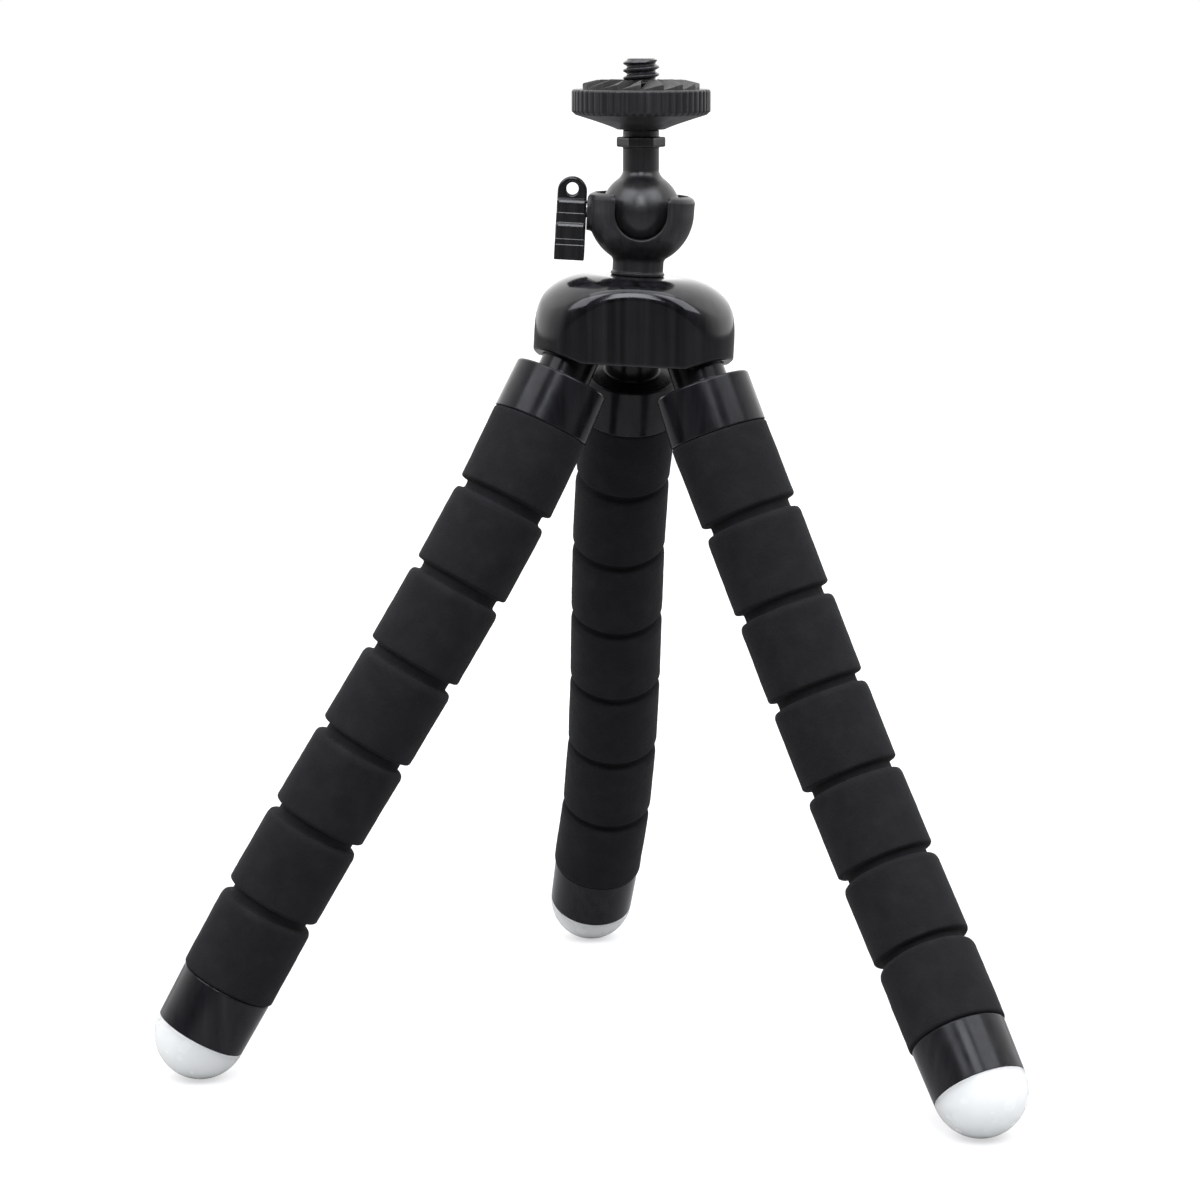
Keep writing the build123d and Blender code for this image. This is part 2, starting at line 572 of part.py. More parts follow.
def make_bead(name, index):
    """One foam bead between two grooves, or between a groove and the collar or cap."""
    chain = chains[name]
    first, last = index == 0, index == BEAD_COUNT - 1
    start = chain.mouth if first else chain.grooves[index - 1]
    axis = chain.axes[index]
    length = BENDS[name].first_bead if first else LAST_BEAD_LENGTH if last else BEAD_PITCH
    across = Vector(0, 0, 1).cross(axis).normalized()
    plane = Plane(origin=start, x_dir=across, z_dir=axis)
    bore = WIRE_RADIUS + WIRE_BORE_GAP
    floor = FOAM_RADIUS - GROOVE_DEPTH
    if first:
        top = [(bore, -foam_overrun), (FOAM_RADIUS, -foam_overrun)]
    else:
        top = [(bore, -foam_overrun), (floor, -foam_overrun),
               (floor, GROOVE_WIDTH / 2), (FOAM_RADIUS, GROOVE_WIDTH / 2)]
    if last:
        bottom = [(FOAM_RADIUS, length - SEATED), (foam_plug_radius, length - SEATED),
                  (foam_plug_radius, length + FOAM_PLUG_LENGTH), (bore, length + FOAM_PLUG_LENGTH)]
    else:
        bottom = [(FOAM_RADIUS, length - GROOVE_WIDTH / 2), (floor, length - GROOVE_WIDTH / 2),
                  (floor, length + foam_overrun), (bore, length + foam_overrun)]
    with BuildPart() as bead:
        turned(plane, top + bottom)
        if first:
            collar_mouth = Plane(origin=chain.mouth, z_dir=-chain.collar_axis)
            split(bisect_by=collar_mouth.offset(-SEATED), keep=Keep.BOTTOM)
            outer_edges = bead.edges().filter_by(GeomType.ELLIPSE).sort_by(SortBy.LENGTH)
            fillet(outer_edges[-1], BEAD_EDGE)
            cylinder_on(collar_mouth, -SEATED, FOAM_PLUG_LENGTH, foam_plug_radius)
            cylinder_on(collar_mouth, -WIRE_RADIUS, FOAM_PLUG_LENGTH, bore + LOOSE, mode=Mode.SUBTRACT)
        round_edges(bead, FOAM_RADIUS, BEAD_EDGE)
        if not first:
            split(bisect_by=Plane(origin=start, z_dir=chain.axes[index - 1] + axis), keep=Keep.TOP)
        if not last:
            split(bisect_by=Plane(origin=chain.grooves[index], z_dir=axis + chain.axes[index + 1]),
                  keep=Keep.BOTTOM)
    finish(bead, f"{name}_foam_{index + 1}")


def make_foot(name):
    """Foot cap that ends the foam and holds the milky tip."""
    chain = chains[name]
    across = Vector(0, 0, 1).cross(chain.axes[-1]).normalized()
    plane = Plane(origin=chain.tip, x_dir=across, z_dir=-chain.axes[-1])
    wire_hole = WIRE_RADIUS + WIRE_BORE_GAP
    with BuildPart() as cap:
        turned(plane, [
            (tip_plug_radius + SEATED, 0), (tip_radius, 0), (cap_top_radius, CAP_LENGTH),
            (foam_plug_radius + SEATED, CAP_LENGTH), (foam_plug_radius + SEATED, cap_web_top),
            (wire_hole, cap_web_top), (wire_hole, cap_web_bottom),
            (tip_plug_radius + SEATED, cap_web_bottom)])
    finish(cap, f"{name}_foot_cap")
    section = Plane(origin=chain.tip, x_dir=across, z_dir=-plane.y_dir)
    with BuildPart() as tip:
        with BuildSketch(section) as tip_outline:
            with BuildLine():
                RadiusArc((0, -tip_radius), (tip_radius, 0), -tip_radius)
                Polyline((tip_radius, 0), (tip_plug_radius, 0), (tip_plug_radius, TIP_PLUG_LENGTH),
                         (0, TIP_PLUG_LENGTH), (0, -tip_radius))
            make_face()
        revolve(tip_outline.sketch, axis=Axis(plane.origin, plane.z_dir))
    finish(tip, f"{name}_foot_tip")


for name in BENDS:
    make_collar(name)
    make_wire(name)
    for index in range(BEAD_COUNT):
        make_bead(name, index)
    make_foot(name)

os.makedirs("parts", exist_ok=True)
for piece in finished:
    export_step(piece, f"parts/{piece.label}.step")
print(f"{len(finished)} nodes, extra lean {extra_leans}")
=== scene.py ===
"""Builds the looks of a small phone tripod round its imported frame.

The file is laid out as an add-on and is run as a script. Lengths are metres and angles radians, unless a
name says otherwise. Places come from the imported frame: the joints give the ball's centre, the hub's own
directions and every groove of the legs, and the nodes give outlines and heights.
"""
import json
import math
from collections import namedtuple

import bpy
import numpy as np
from bpy.props import FloatProperty, FloatVectorProperty, IntProperty, PointerProperty
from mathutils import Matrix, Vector, noise


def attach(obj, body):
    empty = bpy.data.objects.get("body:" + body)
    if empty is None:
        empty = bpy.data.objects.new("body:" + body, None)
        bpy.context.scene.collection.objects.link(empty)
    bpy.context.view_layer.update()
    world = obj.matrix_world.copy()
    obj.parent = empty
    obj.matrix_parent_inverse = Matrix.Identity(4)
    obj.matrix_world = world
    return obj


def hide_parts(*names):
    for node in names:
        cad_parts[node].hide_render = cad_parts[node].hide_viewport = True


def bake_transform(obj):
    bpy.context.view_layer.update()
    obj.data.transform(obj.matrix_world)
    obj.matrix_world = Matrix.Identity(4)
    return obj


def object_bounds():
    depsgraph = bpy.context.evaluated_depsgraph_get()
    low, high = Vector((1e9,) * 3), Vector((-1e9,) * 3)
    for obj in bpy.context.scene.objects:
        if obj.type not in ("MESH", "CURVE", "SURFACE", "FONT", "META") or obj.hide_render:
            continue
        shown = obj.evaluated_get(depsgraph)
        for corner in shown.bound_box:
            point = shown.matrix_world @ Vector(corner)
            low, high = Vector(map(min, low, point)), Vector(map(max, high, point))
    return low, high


bl_info = {
    "name": "Phone tripod",
    "version": (1, 0, 0),
    "blender": (4, 5, 0),
    "location": "View3D > Sidebar > Tripod",
    "description": "Builds a small foam-legged phone tripod round its packed frame",
    "category": "Object",
}

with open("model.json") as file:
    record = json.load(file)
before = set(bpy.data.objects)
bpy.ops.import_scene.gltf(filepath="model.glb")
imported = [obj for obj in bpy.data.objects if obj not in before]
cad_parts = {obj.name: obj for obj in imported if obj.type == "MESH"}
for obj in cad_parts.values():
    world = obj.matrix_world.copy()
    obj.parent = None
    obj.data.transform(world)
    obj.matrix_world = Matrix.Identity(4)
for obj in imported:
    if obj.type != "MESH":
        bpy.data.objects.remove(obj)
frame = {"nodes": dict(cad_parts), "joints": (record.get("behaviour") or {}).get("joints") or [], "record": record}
cad_box = [list(corner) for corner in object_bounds()]

MM = 0.001
LEGS = ("left", "right", "rear")
BEADS = 7
JOINTS = {joint["name"]: joint for joint in frame["joints"]}
COLOURS = {row["slot"]: row["base_color"] for row in frame["record"]["materials"]}


# Measuring the frame

def unit(vector):
    """Vector of length one."""
    vector = np.asarray(vector, float)
    return vector / np.linalg.norm(vector)


def joint_place(name):
    """Where a joint turns."""
    return np.array(JOINTS[name]["pos_m"])


def ease(value):
    """Smooth step from 0 to 1."""
    value = np.clip(value, 0, 1)
    return value * value * (3 - 2 * value)


def node_points(name):
    """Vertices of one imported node."""
    mesh = frame["nodes"][name].data
    points = np.empty(len(mesh.vertices) * 3)
    mesh.vertices.foreach_get("co", points)
    return points.reshape(-1, 3)


def span(name, origin, axis):
    """Lowest and highest reach of a node along an axis."""
    along = (node_points(name) - origin) @ axis
    return along.min(), along.max()


def reach(name, origin, axis):
    """Largest distance of a node from an axis."""
    offsets = node_points(name) - origin
    across = offsets - np.outer(offsets @ axis, axis)
    return np.linalg.norm(across, axis=1).max()


def surface_centre(name):
    """Middle of a node's surface, which lies on its axis when the node is turned."""
    mesh = frame["nodes"][name].data
    mesh.calc_loop_triangles()
    corners = np.empty(len(mesh.loop_triangles) * 3, int)
    mesh.loop_triangles.foreach_get("vertices", corners)
    triangles = node_points(name)[corners].reshape(-1, 3, 3)
    edges = triangles[:, 1:] - triangles[:, :1]
    areas = np.linalg.norm(np.cross(edges[:, 0], edges[:, 1]), axis=1)
    return (triangles.mean(axis=1) * areas[:, None]).sum(axis=0) / areas.sum()


UP = np.array((0.0, 0.0, 1.0))
ball = joint_place("ball_tilt")
hub_z = unit(JOINTS["head_swivel"]["axis"])
hub_x = -unit(JOINTS["clamp_knob_turn"]["axis"])
hub_y = np.cross(hub_z, hub_x)
hub_axes = np.array((hub_x, hub_y, hub_z))
world_axes = np.eye(3)
hub_foot = ball + hub_z * span("hub_shell", ball, hub_z)[0]
hub_height = span("hub_shell", hub_foot, hub_z)[1]

Leg = namedtuple("Leg", "name collar_axis mouth corners axes across outward")


def measure_leg(name):
    """One leg's line: from its collar's mouth through six grooves to its foot cap."""
    mouth = joint_place(f"{name}_leg_bend_1")
    grooves = [joint_place(f"{name}_leg_bend_{bead + 1}") for bead in range(1, BEADS)]
    corners = [mouth, *grooves, surface_centre(f"{name}_foot_cap")]
    axes = [unit(end - start) for start, end in zip(corners, corners[1:])]
    collar_axis = unit(mouth - surface_centre(f"{name}_collar"))
    across = unit(np.cross(UP, corners[-1] - mouth))
    outward = unit(hub_axes[:2] @ (mouth - hub_foot))
    return Leg(name, collar_axis, mouth, corners, axes, across, outward)


legs = {name: measure_leg(name) for name in LEGS}


def collar_top(leg):
    """Height of a collar's keyed head above its mouth."""
    return span(f"{leg.name}_collar", leg.mouth, -leg.collar_axis)[1]


# Sizes that the frame doesn't hold, in the order in which they are used

LOBE_RING_RADIUS = 9.0 * MM
LOBE_RADIUS = 9.5 * MM
LOBE_BEVEL_START = 14.7 * MM
DOME_RADIUS = 11.2 * MM
DOME_REACH = 18.9 * MM
HUB_WALL = 1.8 * MM
BASE_THICKNESS = 3.0 * MM
BASE_SCREW_RING_RADIUS = 8.4 * MM
BASE_SCREW_RADIUS = 1.15 * MM
BASE_SCREW_END = 9.3 * MM
SCREW_BOSS_RADIUS = 2.3 * MM
SPIGOT_HOLE_RADIUS = 3.08 * MM
SPIGOT_RADIUS = 3.0 * MM
SPIGOT_LENGTH = 1.9 * MM
SWIVEL_SCREW_RADIUS = 1.55 * MM
NECK_RADIUS = 4.7 * MM
NECK_HEAD_RADIUS = 5.4 * MM
NECK_HEAD_HEIGHT = 1.8 * MM
SEATED = 0.05 * MM
BALL_RADIUS = 6.9 * MM
CUP_CAVITY_RADIUS = 7.02 * MM
CUP_RADIUS = 9.2 * MM
CUP_FLARE = 0.15 * MM
CUP_RIM_HEIGHT = 3.1 * MM
CUP_RIM_SLOPE = math.radians(25)
CUP_NECK_RADIUS = 4.4 * MM
CUP_FOOT_RADIUS = 4.65 * MM
CUP_FOOT_HEIGHT = 0.6 * MM
CUP_MOUTH_RADIUS = 8.0 * MM
CUP_MOUTH_DEPTH = 1.4 * MM
SLOT_HALF_WIDTH = 4.5 * MM
CLAMP_BOSS_RADIUS = 3.7 * MM
CLAMP_BOSS_FACE = 9.3 * MM
CLAMP_HOLE_RADIUS = 1.58 * MM
INSERT_HOLE_RADIUS = 2.15 * MM
INSERT_FLOOR = 7.4 * MM
INSERT_SKIN = 0.2 * MM
KNOB_TAB_TOP = 5.5 * MM
KNOB_TAB_HALF_THICKNESS = 1.3 * MM
KNOB_EYE_HEIGHT = 3.4 * MM
KNOB_EYE_RADIUS = 1.05 * MM
KNOB_TAIL = 8.8 * MM
# each step's top, half thickness and the drop of its slanted ledge, where it has one
KNOB_STEPS = ((1.65 * MM, 2.0 * MM, 0.6 * MM), (-0.8 * MM, 2.04 * MM, 0), (-2.4 * MM, 2.4 * MM, 0.6 * MM),
              (-5.2 * MM, 2.45 * MM, 0), (-6.2 * MM, 2.52 * MM, 0))
KNOB_LEDGE_SLOPE = math.radians(27)
KNOB_SCREW_SINK = 3.6 * MM
KNOB_HOLE_RADIUS = 1.55 * MM
STEM_RADIUS = 3.12 * MM
STEM_TOP = 14.0 * MM
STOP_BOTTOM = 11.1 * MM
STOP_TOP = 12.85 * MM
STOP_FLAT = 3.637 * MM
SCREW_ROOT_RADIUS = 2.4 * MM
SCREW_ROOT_BOTTOM = 7.5 * MM
THREAD_START = 21.0 * MM
WHEEL_BORE = 3.2 * MM
WHEEL_NECK_RADIUS = 4.1 * MM
WHEEL_BOTTOM = 14.1 * MM
WHEEL_SKIRT_RADIUS = 11.3 * MM
WHEEL_SKIRT_HEIGHT = 16.6 * MM
WHEEL_EDGE_HEIGHT = 17.2 * MM
WHEEL_TOP = 20.95 * MM
WHEEL_POCKET_FLOOR = 19.95 * MM
PAD_RADIUS = 10.05 * MM
PAD_BORE_RADIUS = 3.5 * MM
PAD_CREST = 22.55 * MM
PAD_OUTER_CREST = 21.95 * MM
WIRE_RADIUS = 1.75 * MM
WIRE_BORE_RADIUS = 2.25 * MM
WIRE_END_WALL = 1.0 * MM
PLUG_RADIUS = 7.0 * MM
PLUG_LENGTH = 4.0 * MM
COLLAR_LENGTH = 9.0 * MM
COLLAR_TOP_RADIUS = 8.25 * MM
COLLAR_SOCKET_DEPTH = 5.0 * MM
CAP_WEB_BOTTOM = 4.2 * MM
CAP_WEB_TOP = 5.7 * MM
TIP_PLUG_RADIUS = 6.6 * MM
TIP_PLUG_LENGTH = 4.0 * MM
MOUTH_TURN = 3.0 * MM
BEAD_RAMP_DROP = 0.3
GROOVE_FLOOR_SHARE = 0.75


# Shapes from distance fields

def meet(first, second, radius):
    """What two shapes share, with the edge between them rounded."""
    rounding = np.hypot(np.maximum(first + radius, 0), np.maximum(second + radius, 0))
    return np.minimum(-radius, np.maximum(first, second)) + rounding


def join(first, second, radius):
    """Two shapes as one, with the corner between them filled."""
    filling = np.hypot(np.maximum(radius - first, 0), np.maximum(radius - second, 0))
    return np.maximum(radius, np.minimum(first, second)) - filling


def cut(body, tool, radius):
    """One shape with another taken out of it."""
    return meet(body, -tool, radius)


def between(value, low, high):
    """Slab between two heights."""
    return np.maximum(low - value, value - high)


def rod(apart, radius, height, low, high):
    """Round bar between two heights, from the distance to its middle line."""
    return np.maximum(apart - radius, between(height, low, high))


def box_field(x, y, z, half_sizes, radius):
    """Box about the origin with rounded edges."""
    over = [np.abs(value) - half + radius for value, half in zip((x, y, z), half_sizes)]
    outside = np.sqrt(sum(np.maximum(value, 0) ** 2 for value in over))
    return outside + np.minimum(np.maximum.reduce(over), 0) - radius


NET_PASSES = 4
SLOPE_SHARE = 0.2
SHORTEST = 1e-12


def surface_net(field, low, high, step):
    """Closed quad mesh of a field's surface, with points and normals drawn onto that surface."""
    counts = np.ceil((np.array(high) - low) / step).astype(int) + 1
    grid = np.meshgrid(*(start + step * np.arange(count) for start, count in zip(low, counts)),
                       indexing="ij")
    values = field(*grid)
    total = np.zeros(counts - 1)
    sums = np.zeros((3, *(counts - 1)))
    crossings = []
    for axis in range(3):
        near, far = (values[tuple(end if k == axis else slice(None) for k in range(3))]
                     for end in (slice(None, -1), slice(1, None)))
        crossed = (near < 0) != (far < 0)
        share = np.where(crossed, near / np.where(crossed, near - far, 1), 0)
        crossings.append((crossed, near < 0))
        others = [k for k in range(3) if k != axis]
        for shift in ((0, 0), (0, 1), (1, 0), (1, 1)):
            part = [slice(None)] * 3
            for other, moved in zip(others, shift):
                part[other] = slice(moved, counts[other] - 1 + moved)
            mask = crossed[tuple(part)]
            total += mask
            sums[axis] += share[tuple(part)]
            for other, moved in zip(others, shift):
                sums[other] += moved * mask
    active = total > 0
    cells = np.argwhere(active)
    index = np.full(active.shape, -1)
    index[active] = np.arange(len(cells))
    points = low + step * (cells + (sums[:, active] / total[active]).T)
    quads = []
    for axis, (crossed, outward) in enumerate(crossings):
        around = [(axis + 1) % 3, (axis + 2) % 3]
        inner = tuple(slice(1, -1) if k in around else slice(None) for k in range(3))
        spots = np.argwhere(crossed[inner])
        ring = []
        for shift in ((0, 0), (1, 0), (1, 1), (0, 1)):
            cell = spots.copy()
            cell[:, around] += shift
            ring.append(index[tuple(cell.T)])
        ring = np.stack(ring, axis=1)
        facing = outward[inner][tuple(spots.T)]
        quads.append(np.where(facing[:, None], ring, ring[:, ::-1]))
    for _ in range(NET_PASSES):
        slope = field_slope(field, points, step)
        move = field(*points.T)[:, None] * slope / (slope ** 2).sum(axis=1, keepdims=True)
        points = points - np.clip(move, -step / 2, step / 2)
    return points, [np.concatenate(quads)], unit_rows(field_slope(field, points, step))


def field_slope(field, points, step):
    """Gradient of a field at each point."""
    offsets = step * SLOPE_SHARE * np.eye(3)
    return np.stack([field(*(points + offset).T) - field(*(points - offset).T) for offset in offsets],
                    axis=1) / (2 * step * SLOPE_SHARE)


def unit_rows(vectors):
    """Each row as a vector of length one."""
    return vectors / np.maximum(np.linalg.norm(vectors, axis=-1, keepdims=True), SHORTEST)


# Shapes from turned outlines

TINY = 1e-9
# share of a side that the arc at either of its ends may take
LONGEST_RUN = 0.48


def rounded_outline(corners, steps=5):
    """Closed outline of (radius, height, rounding) corners as points and normals, each corner an arc."""
    corners = np.array(corners, float)
    places, roundings = corners[:, :2], corners[:, 2]
    following = np.roll(places, -1, axis=0)
    if (places[:, 0] * following[:, 1] - following[:, 0] * places[:, 1]).sum() < 0:
        places, roundings = places[::-1], roundings[::-1]
    points, normals = [], []
    for place, before, after, rounding in zip(places, np.roll(places, 1, axis=0),
                                              np.roll(places, -1, axis=0), roundings):
        arriving, leaving = unit(place - before), unit(after - place)
        sides = [np.array((d[1], -d[0])) for d in (arriving, leaving)]
        if not rounding:
            points.append(place)
            normals.append(unit(sum(sides)))
            continue
        turn = arriving[0] * leaving[1] - arriving[1] * leaving[0]
        half = abs(math.atan2(turn, arriving @ leaving)) / 2
        run = min(rounding * math.tan(half), np.linalg.norm(place - before) * LONGEST_RUN,
                  np.linalg.norm(after - place) * LONGEST_RUN)
        size = run / math.tan(half)
        middle = place - arriving * run - sides[0] * size * np.sign(turn)
        for share in np.linspace(0, 1, steps + 1):
            angle = 2 * half * share * np.sign(turn)
            side = sides[0] * math.cos(angle) + np.array((-sides[0][1], sides[0][0])) * math.sin(angle)
            points.append(middle + side * size * np.sign(turn))
            normals.append(side)
    return np.array(points), np.array(normals)


def turned_shape(corners, angles, warp=None, steps=5):
    """Rounded outline turned about Z, with poles on the axis. warp moves radius and height by angle."""
    places, normals = rounded_outline(corners, steps)
    rings = places[:, 0] > TINY
    closed = rings.all()
    first = 0 if closed else int(np.argmax(~rings))
    places, normals = np.roll(places, -first, axis=0), np.roll(normals, -first, axis=0)
    rings = places[:, 0] > TINY
    radius, height = (np.repeat(places[rings, k][:, None], len(angles), axis=1) for k in (0, 1))
    count, width = radius.shape
    sweep = np.repeat(angles[None, :], count, axis=0)
    if warp is not None:
        radius, height = warp(radius, height, sweep)
    grid = np.stack((radius * np.cos(sweep), radius * np.sin(sweep), height), axis=2)
    if warp is None:
        side = normals[rings]
        grid_normals = np.stack((side[:, :1] * np.cos(sweep), side[:, :1] * np.sin(sweep),
                                 side[:, 1:] + 0 * sweep), axis=2)
    else:
        along = np.roll(grid, -1, axis=0) - np.roll(grid, 1, axis=0)
        if not closed:
            along[0], along[-1] = grid[1] - grid[0], grid[-1] - grid[-2]
        around = np.roll(grid, -1, axis=1) - np.roll(grid, 1, axis=1)
        grid_normals = unit_rows(np.cross(around, along))
    index = np.arange(count * width).reshape(count, width)
    upper = np.roll(index, -1, axis=0) if closed else index[1:]
    lower = index if closed else index[:-1]
    quads = np.stack((lower, np.roll(lower, -1, axis=1), np.roll(upper, -1, axis=1), upper), axis=2)
    if closed:
        return grid.reshape(-1, 3), [quads.reshape(-1, 4)], grid_normals.reshape(-1, 3)
    poles = places[~rings]
    downward = np.sign(height[0].mean() - height[-1].mean())
    points = np.concatenate((grid.reshape(-1, 3), ((0, 0, poles[0][1]), (0, 0, poles[-1][1]))))
    all_normals = np.concatenate((grid_normals.reshape(-1, 3), ((0, 0, downward), (0, 0, -downward))))
    return points, [quads.reshape(-1, 4), *end_fans(index)], all_normals


def end_fans(index):
    """Triangles that close a grid's first and last rows with the two points that follow the grid."""
    first, last = index[0], index[-1]
    return [np.stack((np.roll(first, -1), first, np.full(len(first), index.size)), axis=1),
            np.stack((last, np.roll(last, -1), np.full(len(last), index.size + 1)), axis=1)]


def even_angles(count):
    """Angles spread evenly round a full turn."""
    return np.arange(count) * 2 * math.pi / count


# Making pieces

ROUND = even_angles(160)
SHARP_ANGLE = math.radians(50)
NET_MARGIN = MM


def new_piece(name, shape, slot_name, nodes=(), finish=None):
    """Object with a finished mesh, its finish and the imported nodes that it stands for."""
    points, polygons, normals = shape
    mesh = bpy.data.meshes.new(name)
    mesh.from_pydata(points.tolist(), [], [face for block in polygons for face in block.tolist()])
    mesh.shade_smooth()
    if normals is None:
        mesh.set_sharp_from_angle(angle=SHARP_ANGLE)
    else:
        mesh.normals_split_custom_set_from_vertices(normals.tolist())
    mesh.materials.append(finish_named(finish or slot_name))
    piece = bpy.data.objects.new(name, mesh)
    bpy.context.scene.collection.objects.link(piece)
    if nodes:
        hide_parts(*nodes)
    return piece


def stand_in(node, shape, origin, axes, body, slot_name, finish=None):
    """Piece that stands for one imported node. Its shape, in directions of its own, is moved into the frame."""
    points, polygons, normals = shape
    moved = (origin + points @ axes, polygons, normals @ axes)
    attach(new_piece(f"{node}_body", moved, slot_name, [node], finish), body)


def net_stand_in(node, field, low, high, step, *placing):
    """Stand-in whose shape is a field's surface between two corners."""
    step = step
    shape = surface_net(field, np.array(low) - NET_MARGIN, np.array(high) + NET_MARGIN, step)
    stand_in(node, shape, *placing)


def dress_nodes(slot_name, *names):
    """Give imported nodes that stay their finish."""
    for name in names:
        node = frame["nodes"][name]
        if not node.material_slots:
            node.data.materials.append(None)
        for material_slot in node.material_slots:
            material_slot.link = "OBJECT"
            material_slot.material = finish_named(slot_name)


# Hub

def triangle_field(x, y):
    """Distance from the triangle whose corners are the middles of the three lobes."""
    corners = [LOBE_RING_RADIUS * legs[name].outward for name in LEGS]
    distance, inside = None, None
    for start, end in zip(corners, corners[1:] + corners[:1]):
        run = end - start
        length = np.linalg.norm(run)
        side = (run[0] * (y - start[1]) - run[1] * (x - start[0])) / length
        share = np.clip(((x - start[0]) * run[0] + (y - start[1]) * run[1]) / length ** 2, 0, 1)
        apart = np.hypot(x - start[0] - share * run[0], y - start[1] - share * run[1])
        distance = apart if distance is None else np.minimum(distance, apart)
        inside = side > 0 if inside is None else inside & (side > 0)
    return np.where(inside, -distance, distance)


def dome_field(x, y, z, inset):
    """Distance from the turned dome, moved inwards by a wall."""
    radius = DOME_RADIUS - inset
    out = np.hypot(x, y) - (DOME_REACH - DOME_RADIUS)
    up = z - (hub_height - DOME_RADIUS)
    return np.hypot(np.maximum(out, 0), np.maximum(up, 0)) + np.minimum(np.maximum(out, up), 0) - radius


def along_axis(x, y, z, start, axis):
    """Height along an axis and distance from it."""
    offsets = [value - place for value, place in zip((x, y, z), start)]
    height = sum(offset * part for offset, part in zip(offsets, axis))
    apart = np.sqrt(np.maximum(sum(offset ** 2 for offset in offsets) - height ** 2, 0))
    return height, apart


def hub_shell_field(x, y, z):
    """Glossy shell in the hub's directions, Z up from its lower edge."""
    sizes = bpy.context.scene.tripod_sizes
    outline = triangle_field(x, y)
    shell = meet(outline - LOBE_RADIUS, dome_field(x, y, z, 0), sizes.hub_crest)
    bevel = -z
    for leg in legs.values():
        start = (*(LOBE_BEVEL_START * leg.outward), 0)
        bevel = np.maximum(bevel, along_axis(x, y, z, start, hub_axes @ leg.collar_axis)[0])
    shell = meet(shell, bevel, sizes.hub_edge)
    cavity = meet(outline - LOBE_RADIUS + HUB_WALL, dome_field(x, y, z, HUB_WALL), sizes.hub_edge)
    shell = cut(shell, cavity, sizes.hub_edge / 2)
    cavity_top = hub_height - HUB_WALL
    for leg in legs.values():
        place = -leg.outward * BASE_SCREW_RING_RADIUS
        apart = np.hypot(x - place[0], y - place[1])
        boss = rod(apart, SCREW_BOSS_RADIUS, z, BASE_THICKNESS + SEATED, cavity_top + SEATED)
        shell = join(shell, boss, sizes.hub_edge / 2)
        shell = cut(shell, np.maximum(apart - BASE_SCREW_RADIUS, z - BASE_SCREW_END), SEATED)
    for leg in legs.values():
        height, apart = along_axis(x, y, z, hub_axes @ (leg.mouth - hub_foot), -hub_axes @ leg.collar_axis)
        neck_end = collar_top(leg)
        neck = np.maximum(apart - NECK_RADIUS - SEATED, height - neck_end)
        head = rod(apart, NECK_HEAD_RADIUS + SEATED, height, neck_end - NECK_HEAD_HEIGHT - SEATED,
                   neck_end + SEATED)
        shell = cut(shell, np.minimum(neck, head), SEATED)
    hole = rod(np.hypot(x, y), SPIGOT_HOLE_RADIUS, z, cavity_top - HUB_WALL, 2 * hub_height)
    return cut(shell, hole, sizes.hub_edge / 4)


class TRIPOD_OT_hub(bpy.types.Operator):
    """Make the glossy hub shell and dress the parts that it hides"""
    bl_idname = "tripod.hub"
    bl_label = "Hub"

    def execute(self, context):
        net_stand_in("hub_shell", hub_shell_field, (-DOME_REACH, -DOME_REACH, 0),
                     (DOME_REACH, DOME_REACH, hub_height), context.scene.tripod_sizes.net_step,
                     hub_foot, hub_axes, "hub", "hub_gloss")
        dress_nodes("hub_gloss", "hub_base")
        dress_nodes("screw_steel", "hub_base_screws", "swivel_screw", "swivel_washer")
        return {"FINISHED"}


# Head: ball cup, wing knob, ball stem

